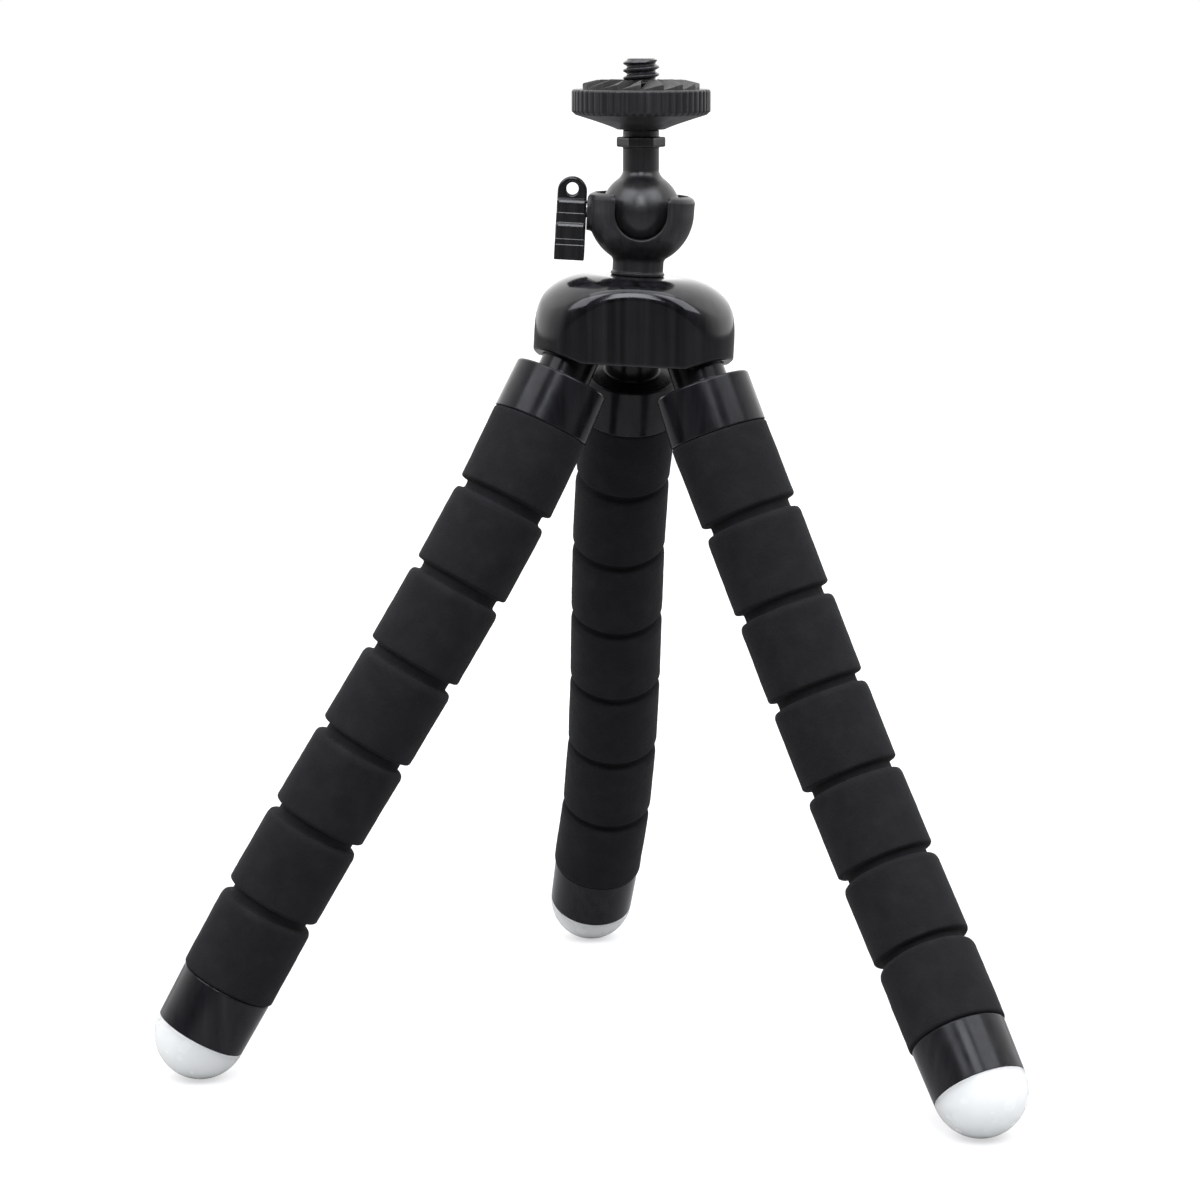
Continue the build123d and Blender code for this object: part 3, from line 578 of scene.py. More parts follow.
def ball_cup_field(x, y, z):
    """Round cup on its neck, in the hub's directions about the ball's centre."""
    sizes = bpy.context.scene.tripod_sizes
    out = np.hypot(x, y)
    from_ball = np.sqrt(out ** 2 + z ** 2)
    flared = out - CUP_RADIUS - CUP_FLARE * (np.maximum(z, 0) / CUP_RIM_HEIGHT) ** 2
    cup = np.where(z < 0, from_ball - CUP_RADIUS, flared)
    seat = span("hub_shell", ball, hub_z)[1] + SEATED
    cup = join(cup, rod(out, CUP_NECK_RADIUS, z, seat, -CUP_RADIUS / 2), sizes.cup_fillet)
    foot = meet(out - CUP_FOOT_RADIUS, between(z, seat, seat + CUP_FOOT_HEIGHT), sizes.cup_edge / 2)
    spigot = rod(out, SPIGOT_RADIUS, z, seat - SPIGOT_LENGTH, seat + SEATED)
    cup = np.minimum(join(cup, foot, sizes.cup_edge / 2), spigot)
    beside = np.hypot(y, z)
    boss = meet(beside - CLAMP_BOSS_RADIUS, between(-x, BALL_RADIUS, CLAMP_BOSS_FACE), sizes.cup_edge / 2)
    cup = join(cup, boss, sizes.cup_edge)
    cup = cut(cup, np.maximum(x + CLAMP_BOSS_FACE, beside - CLAMP_BOSS_RADIUS), SEATED)
    rim = (z - CUP_RIM_HEIGHT) * math.cos(CUP_RIM_SLOPE) + (out - CUP_MOUTH_RADIUS) * math.sin(CUP_RIM_SLOPE)
    cup = meet(cup, rim, sizes.cup_rim)
    mouth = np.maximum(out - CUP_MOUTH_RADIUS, CUP_RIM_HEIGHT - CUP_MOUTH_DEPTH - z)
    # the mouth leaves a skin round the insert
    mouth = np.maximum(mouth, np.where(x < 0, INSERT_HOLE_RADIUS + INSERT_SKIN - beside, -CUP_RADIUS))
    cup = cut(cup, mouth, sizes.cup_edge / 3)
    cup = cut(cup, from_ball - CUP_CAVITY_RADIUS, sizes.cup_edge / 2)
    slot_line = np.where(z < 0, np.hypot(x, z), np.abs(x)) - SLOT_HALF_WIDTH
    cup = cut(cup, np.maximum(slot_line, y), sizes.cup_edge)
    cup = cut(cup, np.maximum(beside - CLAMP_HOLE_RADIUS, x), SEATED)
    cup = cut(cup, np.maximum(beside - INSERT_HOLE_RADIUS, x + INSERT_FLOOR), SEATED)
    screw_end = span("swivel_screw", ball, hub_z)[1] + SEATED
    return cut(cup, np.maximum(out - SWIVEL_SCREW_RADIUS, z - screw_end), SEATED)


class TRIPOD_OT_ball_cup(bpy.types.Operator):
    """Make the satin cup that holds the ball"""
    bl_idname = "tripod.ball_cup"
    bl_label = "Ball cup"

    def execute(self, context):
        side = CUP_RADIUS + CUP_FLARE
        net_stand_in("ball_cup", ball_cup_field, (-side, -side, span("ball_cup", ball, hub_z)[0]),
                     (side, side, CUP_RIM_HEIGHT), context.scene.tripod_sizes.head_step,
                     ball, hub_axes, "head", "head_plastic")
        return {"FINISHED"}


def knob_reach():
    """Middle and half width of the knob along the clamp screw, measured from the ball's centre."""
    near, far = span("wing_knob", ball, -hub_x)
    return (near + far) / 2, (far - near) / 2


def wing_knob_field(x, y, z):
    """Stepped wing with a lanyard eye, in the hub's directions about the ball's centre."""
    sizes = bpy.context.scene.tripod_sizes
    middle, half_width = knob_reach()
    x = x + middle
    eye_height = KNOB_TAB_TOP - half_width
    plate = np.where(z > eye_height, np.hypot(x, z - eye_height), np.abs(x)) - half_width
    knob = meet(np.maximum(plate, -z), np.abs(y) - KNOB_TAB_HALF_THICKNESS, sizes.knob_edge)
    for top, half_thickness, ledge in KNOB_STEPS:
        half_height = (top + KNOB_TAIL) / 2
        step = box_field(x, y, z - top + half_height, (half_width, half_thickness, half_height),
                         sizes.knob_edge / (1 if ledge else 4))
        if ledge:
            slant = ((np.abs(y) - half_thickness) * math.cos(KNOB_LEDGE_SLOPE)
                     + (z - top + ledge) * math.sin(KNOB_LEDGE_SLOPE))
            step = meet(step, slant, sizes.knob_edge / 3)
        knob = join(knob, step, sizes.knob_edge / 4)
    knob = cut(knob, np.hypot(x, z - KNOB_EYE_HEIGHT) - KNOB_EYE_RADIUS, sizes.knob_edge)
    return cut(knob, np.maximum(np.hypot(y, z) - KNOB_HOLE_RADIUS, half_width - KNOB_SCREW_SINK - x),
               SEATED)


class TRIPOD_OT_clamp_knob(bpy.types.Operator):
    """Make the wing knob and dress its screw and insert"""
    bl_idname = "tripod.clamp_knob"
    bl_label = "Clamp knob"

    def execute(self, context):
        middle, half_width = knob_reach()
        side = KNOB_STEPS[-1][1]
        net_stand_in("wing_knob", wing_knob_field, (-middle - half_width, -side, -KNOB_TAIL),
                     (-middle + half_width, side, KNOB_TAB_TOP), context.scene.tripod_sizes.knob_step,
                     ball, hub_axes, "knob", "knob_gloss")
        dress_nodes("screw_steel", "knob_screw")
        dress_nodes("insert_brass", "clamp_insert")
        return {"FINISHED"}


def ball_stem_field(x, y, z):
    """Ball, stem and six-sided stop, upright about the ball's centre."""
    sizes = bpy.context.scene.tripod_sizes
    out = np.hypot(x, y)
    sphere = np.sqrt(out ** 2 + z ** 2) - BALL_RADIUS
    stem = meet(out - STEM_RADIUS, between(z, 0, STEM_TOP), sizes.stop_edge / 2)
    body = join(sphere, stem, sizes.stem_fillet)
    slant_y, slant_x = y / 2, x * math.sqrt(3) / 2
    flats = np.maximum.reduce((np.abs(y), np.abs(slant_x + slant_y), np.abs(slant_x - slant_y))) - STOP_FLAT
    stop = meet(flats, between(z, STOP_BOTTOM, STOP_TOP), sizes.stop_edge)
    body = join(body, stop, sizes.stop_edge / 2)
    return cut(body, np.maximum(out - SCREW_ROOT_RADIUS - SEATED, SCREW_ROOT_BOTTOM - z), SEATED)


class TRIPOD_OT_ball_stem(bpy.types.Operator):
    """Make the ball with its stem and six-sided stop"""
    bl_idname = "tripod.ball_stem"
    bl_label = "Ball and stem"

    def execute(self, context):
        net_stand_in("ball_stem", ball_stem_field, (-BALL_RADIUS, -BALL_RADIUS, -BALL_RADIUS),
                     (BALL_RADIUS, BALL_RADIUS, STEM_TOP), context.scene.tripod_sizes.head_step,
                     ball, world_axes, "ball", "head_plastic", "ball_satin")
        return {"FINISHED"}


# Platform: camera screw, lock wheel, pad

THREAD_ROOT_SHARE = 0.2
THREAD_FLANK_SHARE = 0.62
ROOT_MARGIN = 0.99
SCREW_STEPS = 120
BORE_EDGE = 0.1 * MM
SKIRT_EDGE = 0.25 * MM
SKIRT_ROUNDING = 0.3 * MM
SKIRT_SHARES = np.linspace(0.08, 0.96, 12)
RIB_ROUNDNESS = 0.98
RIB_STEPS = 12
PAD_EDGE = 0.12 * MM
PAD_SLOPE = 2.5 * MM
PAD_CREST_RINGS = np.linspace(PAD_RADIUS - 3 * MM, PAD_BORE_RADIUS + MM, 4)
# places along one tooth: it rises to RISE_ENDS, stays level and falls after the last place
RISE_ENDS = 0.9
TOOTH_PLACES = np.array((0.0, 0.015, 0.03, 0.08, 0.2, 0.35, 0.5, 0.65, 0.8, 0.87, RISE_ENDS, 0.93, 0.97,
                         0.985))


def thread_shape(phase):
    """Height of a screw thread over its root, 0 to 1, for a place along its pitch."""
    ridge = 1 - np.abs(2 * phase - 1)
    ridge = np.clip((ridge - THREAD_ROOT_SHARE) / THREAD_FLANK_SHARE, 0, 1)
    return (ridge + ease(ridge)) / 2


class TRIPOD_OT_camera_screw(bpy.types.Operator):
    """Make the threaded camera screw"""
    bl_idname = "tripod.camera_screw"
    bl_label = "Camera screw"

    def execute(self, context):
        sizes = context.scene.tripod_sizes
        crest = reach("camera_screw", ball, UP)
        bottom, top = span("camera_screw", ball, UP)
        root = crest - sizes.thread_depth
        rows = np.arange(THREAD_START, top - sizes.thread_depth, sizes.thread_step)
        corners = [(0, bottom, 0), (SCREW_ROOT_RADIUS, bottom, sizes.thread_step),
                   (SCREW_ROOT_RADIUS, THREAD_START - sizes.thread_depth, sizes.thread_step),
                   *((root, row, 0) for row in rows), (root, top, sizes.stop_edge), (0, top, 0)]

        def threaded(radius, height, sweep):
            phase = (height / sizes.thread_pitch - sweep / (2 * math.pi)) % 1
            start = np.clip((height - THREAD_START) / sizes.thread_pitch, 0, 1)
            end = np.clip((top - height) / sizes.thread_depth, 0, 1)
            lift = sizes.thread_depth * thread_shape(phase) * start * end
            lifted = (height >= THREAD_START) & (radius > root * ROOT_MARGIN)
            return np.where(lifted, radius + lift, radius), height

        shape = turned_shape(corners, even_angles(SCREW_STEPS), threaded)
        stand_in("camera_screw", shape, ball, world_axes, "ball", "black_screw")
        return {"FINISHED"}


class TRIPOD_OT_lock_wheel(bpy.types.Operator):
    """Make the ribbed lock wheel"""
    bl_idname = "tripod.lock_wheel"
    bl_label = "Lock wheel"

    def execute(self, context):
        sizes = context.scene.tripod_sizes
        low, high = span("lock_wheel", ball, world_axes[1])
        radius = (high - low) / 2
        edge = sizes.wheel_edge
        pocket = PAD_RADIUS + SEATED
        corners = [(WHEEL_BORE, WHEEL_BOTTOM, BORE_EDGE), (WHEEL_NECK_RADIUS, WHEEL_BOTTOM, SKIRT_EDGE)]
        for share in SKIRT_SHARES:
            out = WHEEL_NECK_RADIUS + share * (WHEEL_SKIRT_RADIUS - WHEEL_NECK_RADIUS)
            lift = share ** sizes.wheel_curve * (WHEEL_SKIRT_HEIGHT - WHEEL_BOTTOM)
            corners.append((out, WHEEL_BOTTOM + lift, SKIRT_ROUNDING))
        corners += [(WHEEL_SKIRT_RADIUS, WHEEL_SKIRT_HEIGHT, SKIRT_EDGE), (radius, WHEEL_EDGE_HEIGHT, edge),
                    (radius, WHEEL_TOP, edge), (pocket, WHEEL_TOP, edge / 2),
                    (pocket, WHEEL_POCKET_FLOOR, SEATED), (WHEEL_BORE, WHEEL_POCKET_FLOOR, SEATED)]

        def ribbed(out, height, sweep):
            across = 2 * ((sweep * sizes.rib_count / (2 * math.pi)) % 1) - 1
            hollow = 1 - np.sqrt(1 - across ** 2 * RIB_ROUNDNESS)
            weight = np.clip((out - radius + 2 * sizes.rib_depth) / sizes.rib_depth, 0, 1)
            weight = weight * np.clip((height - WHEEL_SKIRT_HEIGHT) / edge, 0, 1)
            return out - sizes.rib_depth * hollow * weight, height

        shape = turned_shape(corners, even_angles(sizes.rib_count * RIB_STEPS), ribbed, 4)
        stand_in("lock_wheel", shape, ball, world_axes, "wheel", "head_plastic")
        return {"FINISHED"}


class TRIPOD_OT_platform_pad(bpy.types.Operator):
    """Make the pad with its ring of saw teeth"""
    bl_idname = "tripod.platform_pad"
    bl_label = "Platform pad"

    def execute(self, context):
        sizes = context.scene.tripod_sizes
        teeth, foot, rounding = sizes.tooth_count, WHEEL_POCKET_FLOOR + SEATED, 2 * PAD_EDGE
        angles = ((np.arange(teeth)[:, None] + TOOTH_PLACES) * 2 * math.pi / teeth).ravel()
        corners = [
            (PAD_BORE_RADIUS, foot, PAD_EDGE), (PAD_RADIUS, foot, PAD_EDGE), (PAD_RADIUS, WHEEL_TOP, 0),
            (PAD_RADIUS, PAD_OUTER_CREST, rounding), (PAD_RADIUS - PAD_SLOPE, PAD_CREST, rounding),
            *((out, PAD_CREST, 0) for out in PAD_CREST_RINGS),
            (PAD_BORE_RADIUS, PAD_CREST, rounding), (PAD_BORE_RADIUS, WHEEL_TOP, 0)]

        def toothed(out, height, sweep):
            phase = (sweep * teeth / (2 * math.pi) + TINY) % 1
            drop = sizes.tooth_height * (1 - np.clip(phase / RISE_ENDS, 0, 1))
            share = np.clip((height - WHEEL_TOP) / (PAD_CREST - WHEEL_TOP), 0, 1)
            return out, height - drop * share

        shape = turned_shape(corners, angles, toothed, 3)
        stand_in("platform_pad", shape, ball, world_axes, "wheel", "pad_rubber")
        return {"FINISHED"}


# Legs: collars, foam, core wires, feet

WAVE_SCALE = 0.35
PIT_SCALE = 1.1
WAVE_SHARE = 0.6
# points round a sleeve and the spacing of its rings
SLEEVE_MESH, QUICK_SLEEVE_MESH = (128, 0.5 * MM), (72, 1.2 * MM)
MOUTH_STEPS = 6
WIRE_STEPS = 32
FIRST_WIRE_RINGS, WIRE_RINGS, LAST_WIRE_RINGS = 24, 16, 12
DOME_STEPS = 40


def leg_axes(leg, axis):
    """Directions of a turned piece on a leg: X across the leg and Z along its axis."""
    sideways = unit(leg.across - (leg.across @ axis) * axis)
    return np.array((sideways, np.cross(axis, sideways), axis))


class TRIPOD_OT_collars(bpy.types.Operator):
    """Make the three glossy collars with their necks"""
    bl_idname = "tripod.collars"
    bl_label = "Collars"

    def execute(self, context):
        edge = context.scene.tripod_sizes.collar_edge
        bevel = edge / 4
        socket, hole = PLUG_RADIUS + SEATED, WIRE_RADIUS + SEATED
        for leg in legs.values():
            node, up, top = f"{leg.name}_collar", -leg.collar_axis, collar_top(leg)
            head = top - NECK_HEAD_HEIGHT
            corners = [
                (0, top, 0), (NECK_HEAD_RADIUS, top, edge / 2), (NECK_HEAD_RADIUS, head, bevel),
                (NECK_RADIUS, head, bevel), (NECK_RADIUS, COLLAR_LENGTH, edge),
                (COLLAR_TOP_RADIUS, COLLAR_LENGTH, edge), (reach(node, leg.mouth, up), 0, edge / 2),
                (socket, 0, bevel), (socket, COLLAR_SOCKET_DEPTH, bevel), (hole, COLLAR_SOCKET_DEPTH, bevel),
                (hole, top - WIRE_END_WALL, bevel), (0, top - WIRE_END_WALL, 0)]
            stand_in(node, turned_shape(corners, ROUND), leg.mouth, leg_axes(leg, up), "hub", "hub_gloss",
                     "collar_gloss")
        return {"FINISHED"}


Ring = namedtuple("Ring", "centre axis radius")
Stretch = namedtuple("Stretch", "corner before after start end")


def half_bead(leg, bead):
    """From a groove to where two lengths of sleeve meet in a bead. The last bead is cut as its neighbour."""
    bead = min(bead, BEADS - 1)
    return np.linalg.norm(leg.corners[bead] - leg.corners[bead - 1]) / 2


def stretch_of(leg, number):
    """Bend that one length of sleeve or wire goes round, and where the length starts and ends from there."""
    if number == 0:
        return Stretch(leg.mouth, leg.collar_axis, leg.axes[0], None, half_bead(leg, 1))
    if number == BEADS:
        return Stretch(leg.corners[BEADS - 1], leg.axes[-1], leg.axes[-1], half_bead(leg, BEADS), None)
    return Stretch(leg.corners[number], leg.axes[number - 1], leg.axes[number], -half_bead(leg, number),
                   half_bead(leg, number + 1))


def rings_of(stretch, line, turn):
    """Rings at (place, radius) along a bent line, square to the line outside the stretch where it turns."""
    rings = []
    for along, radius in line:
        share = ease((along - turn[0]) / (turn[1] - turn[0]))
        side = stretch.before if along < 0 else stretch.after
        rings.append(Ring(stretch.corner + side * along,
                          unit(stretch.before * (1 - share) + stretch.after * share), radius))
    return rings


def swept_shape(leg, rings, count, unevenness=0.0, uneven_rings=0, closed=True):
    """Skin through rings: a tube that comes back to its first ring, or a rod with two ends."""
    angles = even_angles(count)
    rows = []
    for place, ring in enumerate(rings):
        sideways, upward, _ = leg_axes(leg, ring.axis)
        circle = np.cos(angles)[:, None] * sideways + np.sin(angles)[:, None] * upward
        row = ring.centre + ring.radius * circle
        if place < uneven_rings:
            row = row + circle * (unevenness * np.array([surface_noise(point) for point in row]))[:, None]
        rows.append(row)
    index = np.arange(len(rows) * count).reshape(len(rows), count)
    lower, upper = (index, np.roll(index, -1, axis=0)) if closed else (index[:-1], index[1:])
    quads = np.stack((lower, upper, np.roll(upper, -1, axis=1), np.roll(lower, -1, axis=1)), axis=2)
    polygons = [quads.reshape(-1, 4)]
    if not closed:
        rows += [rings[0].centre[None], rings[-1].centre[None]]
        polygons += [fan[:, ::-1] for fan in end_fans(index)]
    return np.concatenate(rows), polygons, None


def surface_noise(point):
    """Waviness of ground foam at a point, about -1 to 1."""
    place = Vector(point) / MM
    return noise.noise(place * WAVE_SCALE) * WAVE_SHARE + noise.noise(place * PIT_SCALE) * (1 - WAVE_SHARE)


def groove_profile(sizes, radius, half_length):
    """Places along the leg and radii across one groove, from mid-bead to mid-bead."""
    half, floor = sizes.groove_width / 2, radius - sizes.groove_depth
    # an open line is rounded by closing it far below the foam's surface
    corners = [
        (-half_length, 0, 0), (half_length, 0, 0), (half_length, radius, 0),
        (half + sizes.bead_ramp, radius, sizes.bead_top_round * 2),
        (half, radius - sizes.bead_ramp * BEAD_RAMP_DROP, sizes.bead_top_round),
        (half * GROOVE_FLOOR_SHARE, floor, sizes.groove_round),
        (-half * GROOVE_FLOOR_SHARE, floor, sizes.groove_round),
        (-half, radius, sizes.bead_bottom_round), (-half_length, radius, 0)]
    points, _ = rounded_outline(corners)
    points = points[points[:, 1] > 0]
    return points[np.argsort(points[:, 0], kind="stable")]


def filled_in(profile, spacing):
    """Profile with points added on its long straight runs."""
    filled = [profile[0]]
    for start, end in zip(profile, profile[1:]):
        parts = max(1, int(np.linalg.norm(end - start) / spacing))
        filled += [start + (end - start) * part / parts for part in range(1, parts + 1)]
    return filled


def bend_with_leg(piece, leg, number):
    """Hang the last length of sleeve or wire on its leg's last body; the other lengths only have their placing put
    into their meshes.
    """
    upper, lower = f"{leg.name}_leg_{number}", f"{leg.name}_leg_{number + 1}"
    if number == BEADS:
        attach(piece, upper)
        return
    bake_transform(piece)


class TRIPOD_OT_foam_sleeves(bpy.types.Operator):
    """Make the foam sleeves with their ground grooves, in lengths that meet in the beads"""
    bl_idname = "tripod.foam_sleeves"
    bl_label = "Foam sleeves"

    def execute(self, context):
        sizes = context.scene.tripod_sizes
        count, spacing = SLEEVE_MESH
        for leg in legs.values():
            for number in range(BEADS + 1):
                outer, inner = self.sleeve_rings(leg, number, sizes, spacing)
                shape = swept_shape(leg, [*outer, *inner[::-1]], count, sizes.foam_unevenness, len(outer))
                nodes = [f"{leg.name}_foam_{bead}" for bead in (number, number + 1) if 1 <= bead <= BEADS]
                piece = new_piece(f"{leg.name}_sleeve_{number + 1}", shape, "foam", nodes)
                bend_with_leg(piece, leg, number)
        return {"FINISHED"}

    def sleeve_rings(self, leg, number, sizes, spacing):
        """Outer and bore rings of one length of sleeve."""
        stretch = stretch_of(leg, number)
        start, end, edge = stretch.start, stretch.end, sizes.mouth_round
        radius = reach(f"{leg.name}_foam_2", leg.corners[1], leg.axes[1])
        arc = [(edge * (1 - math.cos(a)), radius - edge * (1 - math.sin(a)))
               for a in np.linspace(0, math.pi / 2, MOUTH_STEPS)]
        if number == 0:
            profile = [(-PLUG_LENGTH, PLUG_RADIUS), (SEATED, PLUG_RADIUS), *arc, (end, radius)]
            bore = (-PLUG_LENGTH, 0, end / 2, end)
            turn = (0, MOUTH_TURN)
        elif number == BEADS:
            end = span(f"{leg.name}_foot_cap", stretch.corner, stretch.after)[0] - SEATED
            profile = [(start, radius), *((end - place, size) for place, size in arc[::-1]),
                       (end, PLUG_RADIUS), (end + PLUG_LENGTH, PLUG_RADIUS)]
            bore = (start, (start + end) / 2, end + PLUG_LENGTH)
            turn = (start, end)
        else:
            groove = groove_profile(sizes, radius, min(-start, end))
            profile = [(start, radius), *groove[1:-1], (end, radius)]
            bore = (start, start / 2, 0, end / 2, end)
            turn = (-sizes.groove_width, sizes.groove_width)
        return (rings_of(stretch, filled_in(np.array(profile), spacing), turn),
                rings_of(stretch, [(place, WIRE_BORE_RADIUS) for place in bore], turn))


class TRIPOD_OT_core_wires(bpy.types.Operator):
    """Make the bendable core wires in lengths that follow the foam's lengths"""
    bl_idname = "tripod.core_wires"
    bl_label = "Core wires"

    def execute(self, context):
        sizes = context.scene.tripod_sizes
        edge = sizes.wire_edge
        for leg in legs.values():
            for number in range(BEADS + 1):
                start, *places, end = self.ring_places(leg, number)
                turn = (-sizes.bend_length, sizes.bend_length) if number else (-MM, MM)
                line = [(start, WIRE_RADIUS - edge), (start + edge, WIRE_RADIUS),
                        *((place, WIRE_RADIUS) for place in places),
                        (end - edge, WIRE_RADIUS), (end, WIRE_RADIUS - edge)]
                rings = rings_of(stretch_of(leg, number), line, turn)
                shape = swept_shape(leg, rings, WIRE_STEPS, closed=False)
                nodes = [f"{leg.name}_core_wire"] if number == 0 else ()
                piece = new_piece(f"{leg.name}_wire_{number + 1}", shape, "core_aluminium", nodes)
                bend_with_leg(piece, leg, number)
        return {"FINISHED"}

    def ring_places(self, leg, number):
        """Places of the rings of one length of wire, from the bend that it goes round."""
        stretch = stretch_of(leg, number)
        if number == 0:
            return np.linspace(WIRE_END_WALL + SEATED - collar_top(leg), stretch.end, FIRST_WIRE_RINGS)
        if number < BEADS:
            return np.linspace(stretch.start, stretch.end, WIRE_RINGS)
        tip_face = span(f"{leg.name}_foot_cap", stretch.corner, stretch.after)[1]
        return np.linspace(stretch.start, tip_face + TIP_PLUG_LENGTH - 2 * CAP_WEB_BOTTOM, LAST_WIRE_RINGS)


class TRIPOD_OT_feet(bpy.types.Operator):
    """Make the glossy foot caps and their milky tips"""
    bl_idname = "tripod.feet"
    bl_label = "Feet"

    def execute(self, context):
        edge = context.scene.tripod_sizes.cap_edge
        bevel = edge / 4
        plug, socket = PLUG_RADIUS + SEATED, TIP_PLUG_RADIUS + SEATED
        quarter = np.linspace(0, math.pi / 2, DOME_STEPS)[:-1]
        for leg in legs.values():
            cap, tip, axis = f"{leg.name}_foot_cap", f"{leg.name}_foot_tip", leg.axes[-1]
            low, high = span(cap, leg.corners[BEADS - 1], axis)
            tip_face, length = leg.corners[BEADS - 1] + axis * high, high - low
            radius = span(tip, tip_face, axis)[1]
            cap_corners = [
                (socket, 0, bevel), (radius, 0, edge / 2), (reach(cap, tip_face, axis), length, edge),
                (plug, length, bevel), (plug, CAP_WEB_TOP, bevel), (WIRE_BORE_RADIUS, CAP_WEB_TOP, bevel),
                (WIRE_BORE_RADIUS, CAP_WEB_BOTTOM, bevel), (socket, CAP_WEB_BOTTOM, bevel)]
            dome = [(radius * math.cos(a), -radius * math.sin(a), 0) for a in quarter]
            tip_corners = [(0, -radius, 0), *dome[::-1], (TIP_PLUG_RADIUS, 0, bevel),
                           (TIP_PLUG_RADIUS, TIP_PLUG_LENGTH, edge), (0, TIP_PLUG_LENGTH, 0)]
            for node, corners, slot_name, finish in ((cap, cap_corners, "hub_gloss", "collar_gloss"),
                                                     (tip, tip_corners, "milky_tip", None)):
                stand_in(node, turned_shape(corners, ROUND), tip_face, leg_axes(leg, -axis),
                         f"{leg.name}_leg_{BEADS}", slot_name, finish)
        return {"FINISHED"}


# Finishes

MASK_RANGE = (0.3, 0.7)
# stretch of the upright streaks: flow marks of the moulding, and on the glossy hub painted reflections
STREAK_STRETCH = (2.5, 2.5, 0.06)
RING_STRETCH = (0.05, 0.05, 1.0)
CLOUD_SCALE, CLOUD_DETAIL = 150.0, 4.0
# dust in patches and specks, and scuffs on the edges: how fine each is and where its mask starts and ends
PATCH_SCALE, PATCH_RANGE = 260.0, (0.45, 0.8)
SPECK_SCALE, SPECK_RANGE = 3800.0, (0.62, 0.72)
SCUFF_SCALE, EDGE_RANGE = 900.0, (0.53, 0.62)
DULL_SHARE, PALE_SHARE = 0.5, 0.3
FUZZ_SCALE, CELL_HEIGHT, PATCH_SHADE, FUZZ_SHADE = 0.6, 0.6, 0.6, 0.4
SMUDGE_SCALE = 700.0


def put(tree, kind, values=None, **settings):
    """Add a node, set its values and link any sockets given as values."""
    node = tree.nodes.new(kind)
    for key, value in settings.items():
        setattr(node, key, value)
    for key, value in (values or {}).items():
        socket = node.inputs[key]
        if isinstance(value, bpy.types.NodeSocket):
            tree.links.new(value, socket)
        else:
            socket.default_value = value
    return node


def new_group(name, inputs, outputs):
    """Empty node group with named sockets: colours where the default or the label says so, else numbers."""
    group = bpy.data.node_groups.new(name, "ShaderNodeTree")
    for label, default in inputs.items():
        kind = "NodeSocketColor" if isinstance(default, tuple) else "NodeSocketFloat"
        group.interface.new_socket(label, in_out="INPUT", socket_type=kind).default_value = default
    for label in outputs:
        kind = "NodeSocketColor" if label == "Color" else "NodeSocketFloat"
        group.interface.new_socket(label, in_out="OUTPUT", socket_type=kind)
    return group, put(group, "NodeGroupInput").outputs, put(group, "NodeGroupOutput")


def connect(tree, node, sockets):
    """Link outputs to a node's named sockets."""
    for label, socket in sockets.items():
        tree.links.new(socket, node.inputs[label])


def maths(tree, operation, first, second):
    """Output of a Math node."""
    return put(tree, "ShaderNodeMath", {0: first, 1: second}, operation=operation).outputs[0]


def plus(tree, first, second):
    """Sum of two values."""
    return maths(tree, "ADD", first, second)


def times(tree, first, second):
    """Product of two values."""
    return maths(tree, "MULTIPLY", first, second)


def ramp(tree, value, low, high, to_low=0.0, to_high=1.0, **settings):
    """Value carried from one range over to another."""
    return put(tree, "ShaderNodeMapRange", {"Value": value, "From Min": low, "From Max": high,
                                            "To Min": to_low, "To Max": to_high}, **settings).outputs[0]


def uneven(tree, mask, low, high):
    """Value between two levels, by a noise or another mask about one half."""
    return ramp(tree, mask, *MASK_RANGE, low, high)


def mixed(tree, share, first, second):
    """Mix of two colours."""
    return put(tree, "ShaderNodeMix", {0: share, 6: first, 7: second}, data_type="RGBA").outputs[2]


def own_place(tree):
    """Place on the piece itself, so that a finish rides with it."""
    return put(tree, "ShaderNodeTexCoord").outputs["Object"]


def texture_noise(tree, scale, detail=3.0, stretch=None):
    """Noise over the piece's own place, which may be stretched."""
    place = own_place(tree)
    if stretch:
        place = put(tree, "ShaderNodeMapping", {"Vector": place, "Scale": stretch}).outputs[0]
    return put(tree, "ShaderNodeTexNoise", {"Vector": place, "Scale": scale, "Detail": detail}).outputs[0]


def moulded_skin(name):
    """Group: slow ripple and fine grain of a moulded surface as one height, and upright streaks in the colour,
    which are flow marks of the moulding and, on the glossy hub, painted reflections.
    """
    group, given, result = new_group(name, {"Ripple Scale": 500.0, "Grain Scale": 6000.0,
                                            "Grain Share": 0.2}, ("Height", "Ripple", "Flow Marks and Painted Reflection"))
    ripple = texture_noise(group, given["Ripple Scale"], detail=2.0)
    grain = texture_noise(group, given["Grain Scale"], detail=2.0)
    # upright streaks that darken and lighten the colour: flow marks, and on the glossy hub painted reflections
    streaks_and_reflection = texture_noise(group, given["Ripple Scale"], detail=4.0, stretch=STREAK_STRETCH)
    connect(group, result, {"Height": plus(group, ripple, times(group, grain, given["Grain Share"])),
                            "Ripple": ripple, "Flow Marks and Painted Reflection": streaks_and_reflection})
    return group


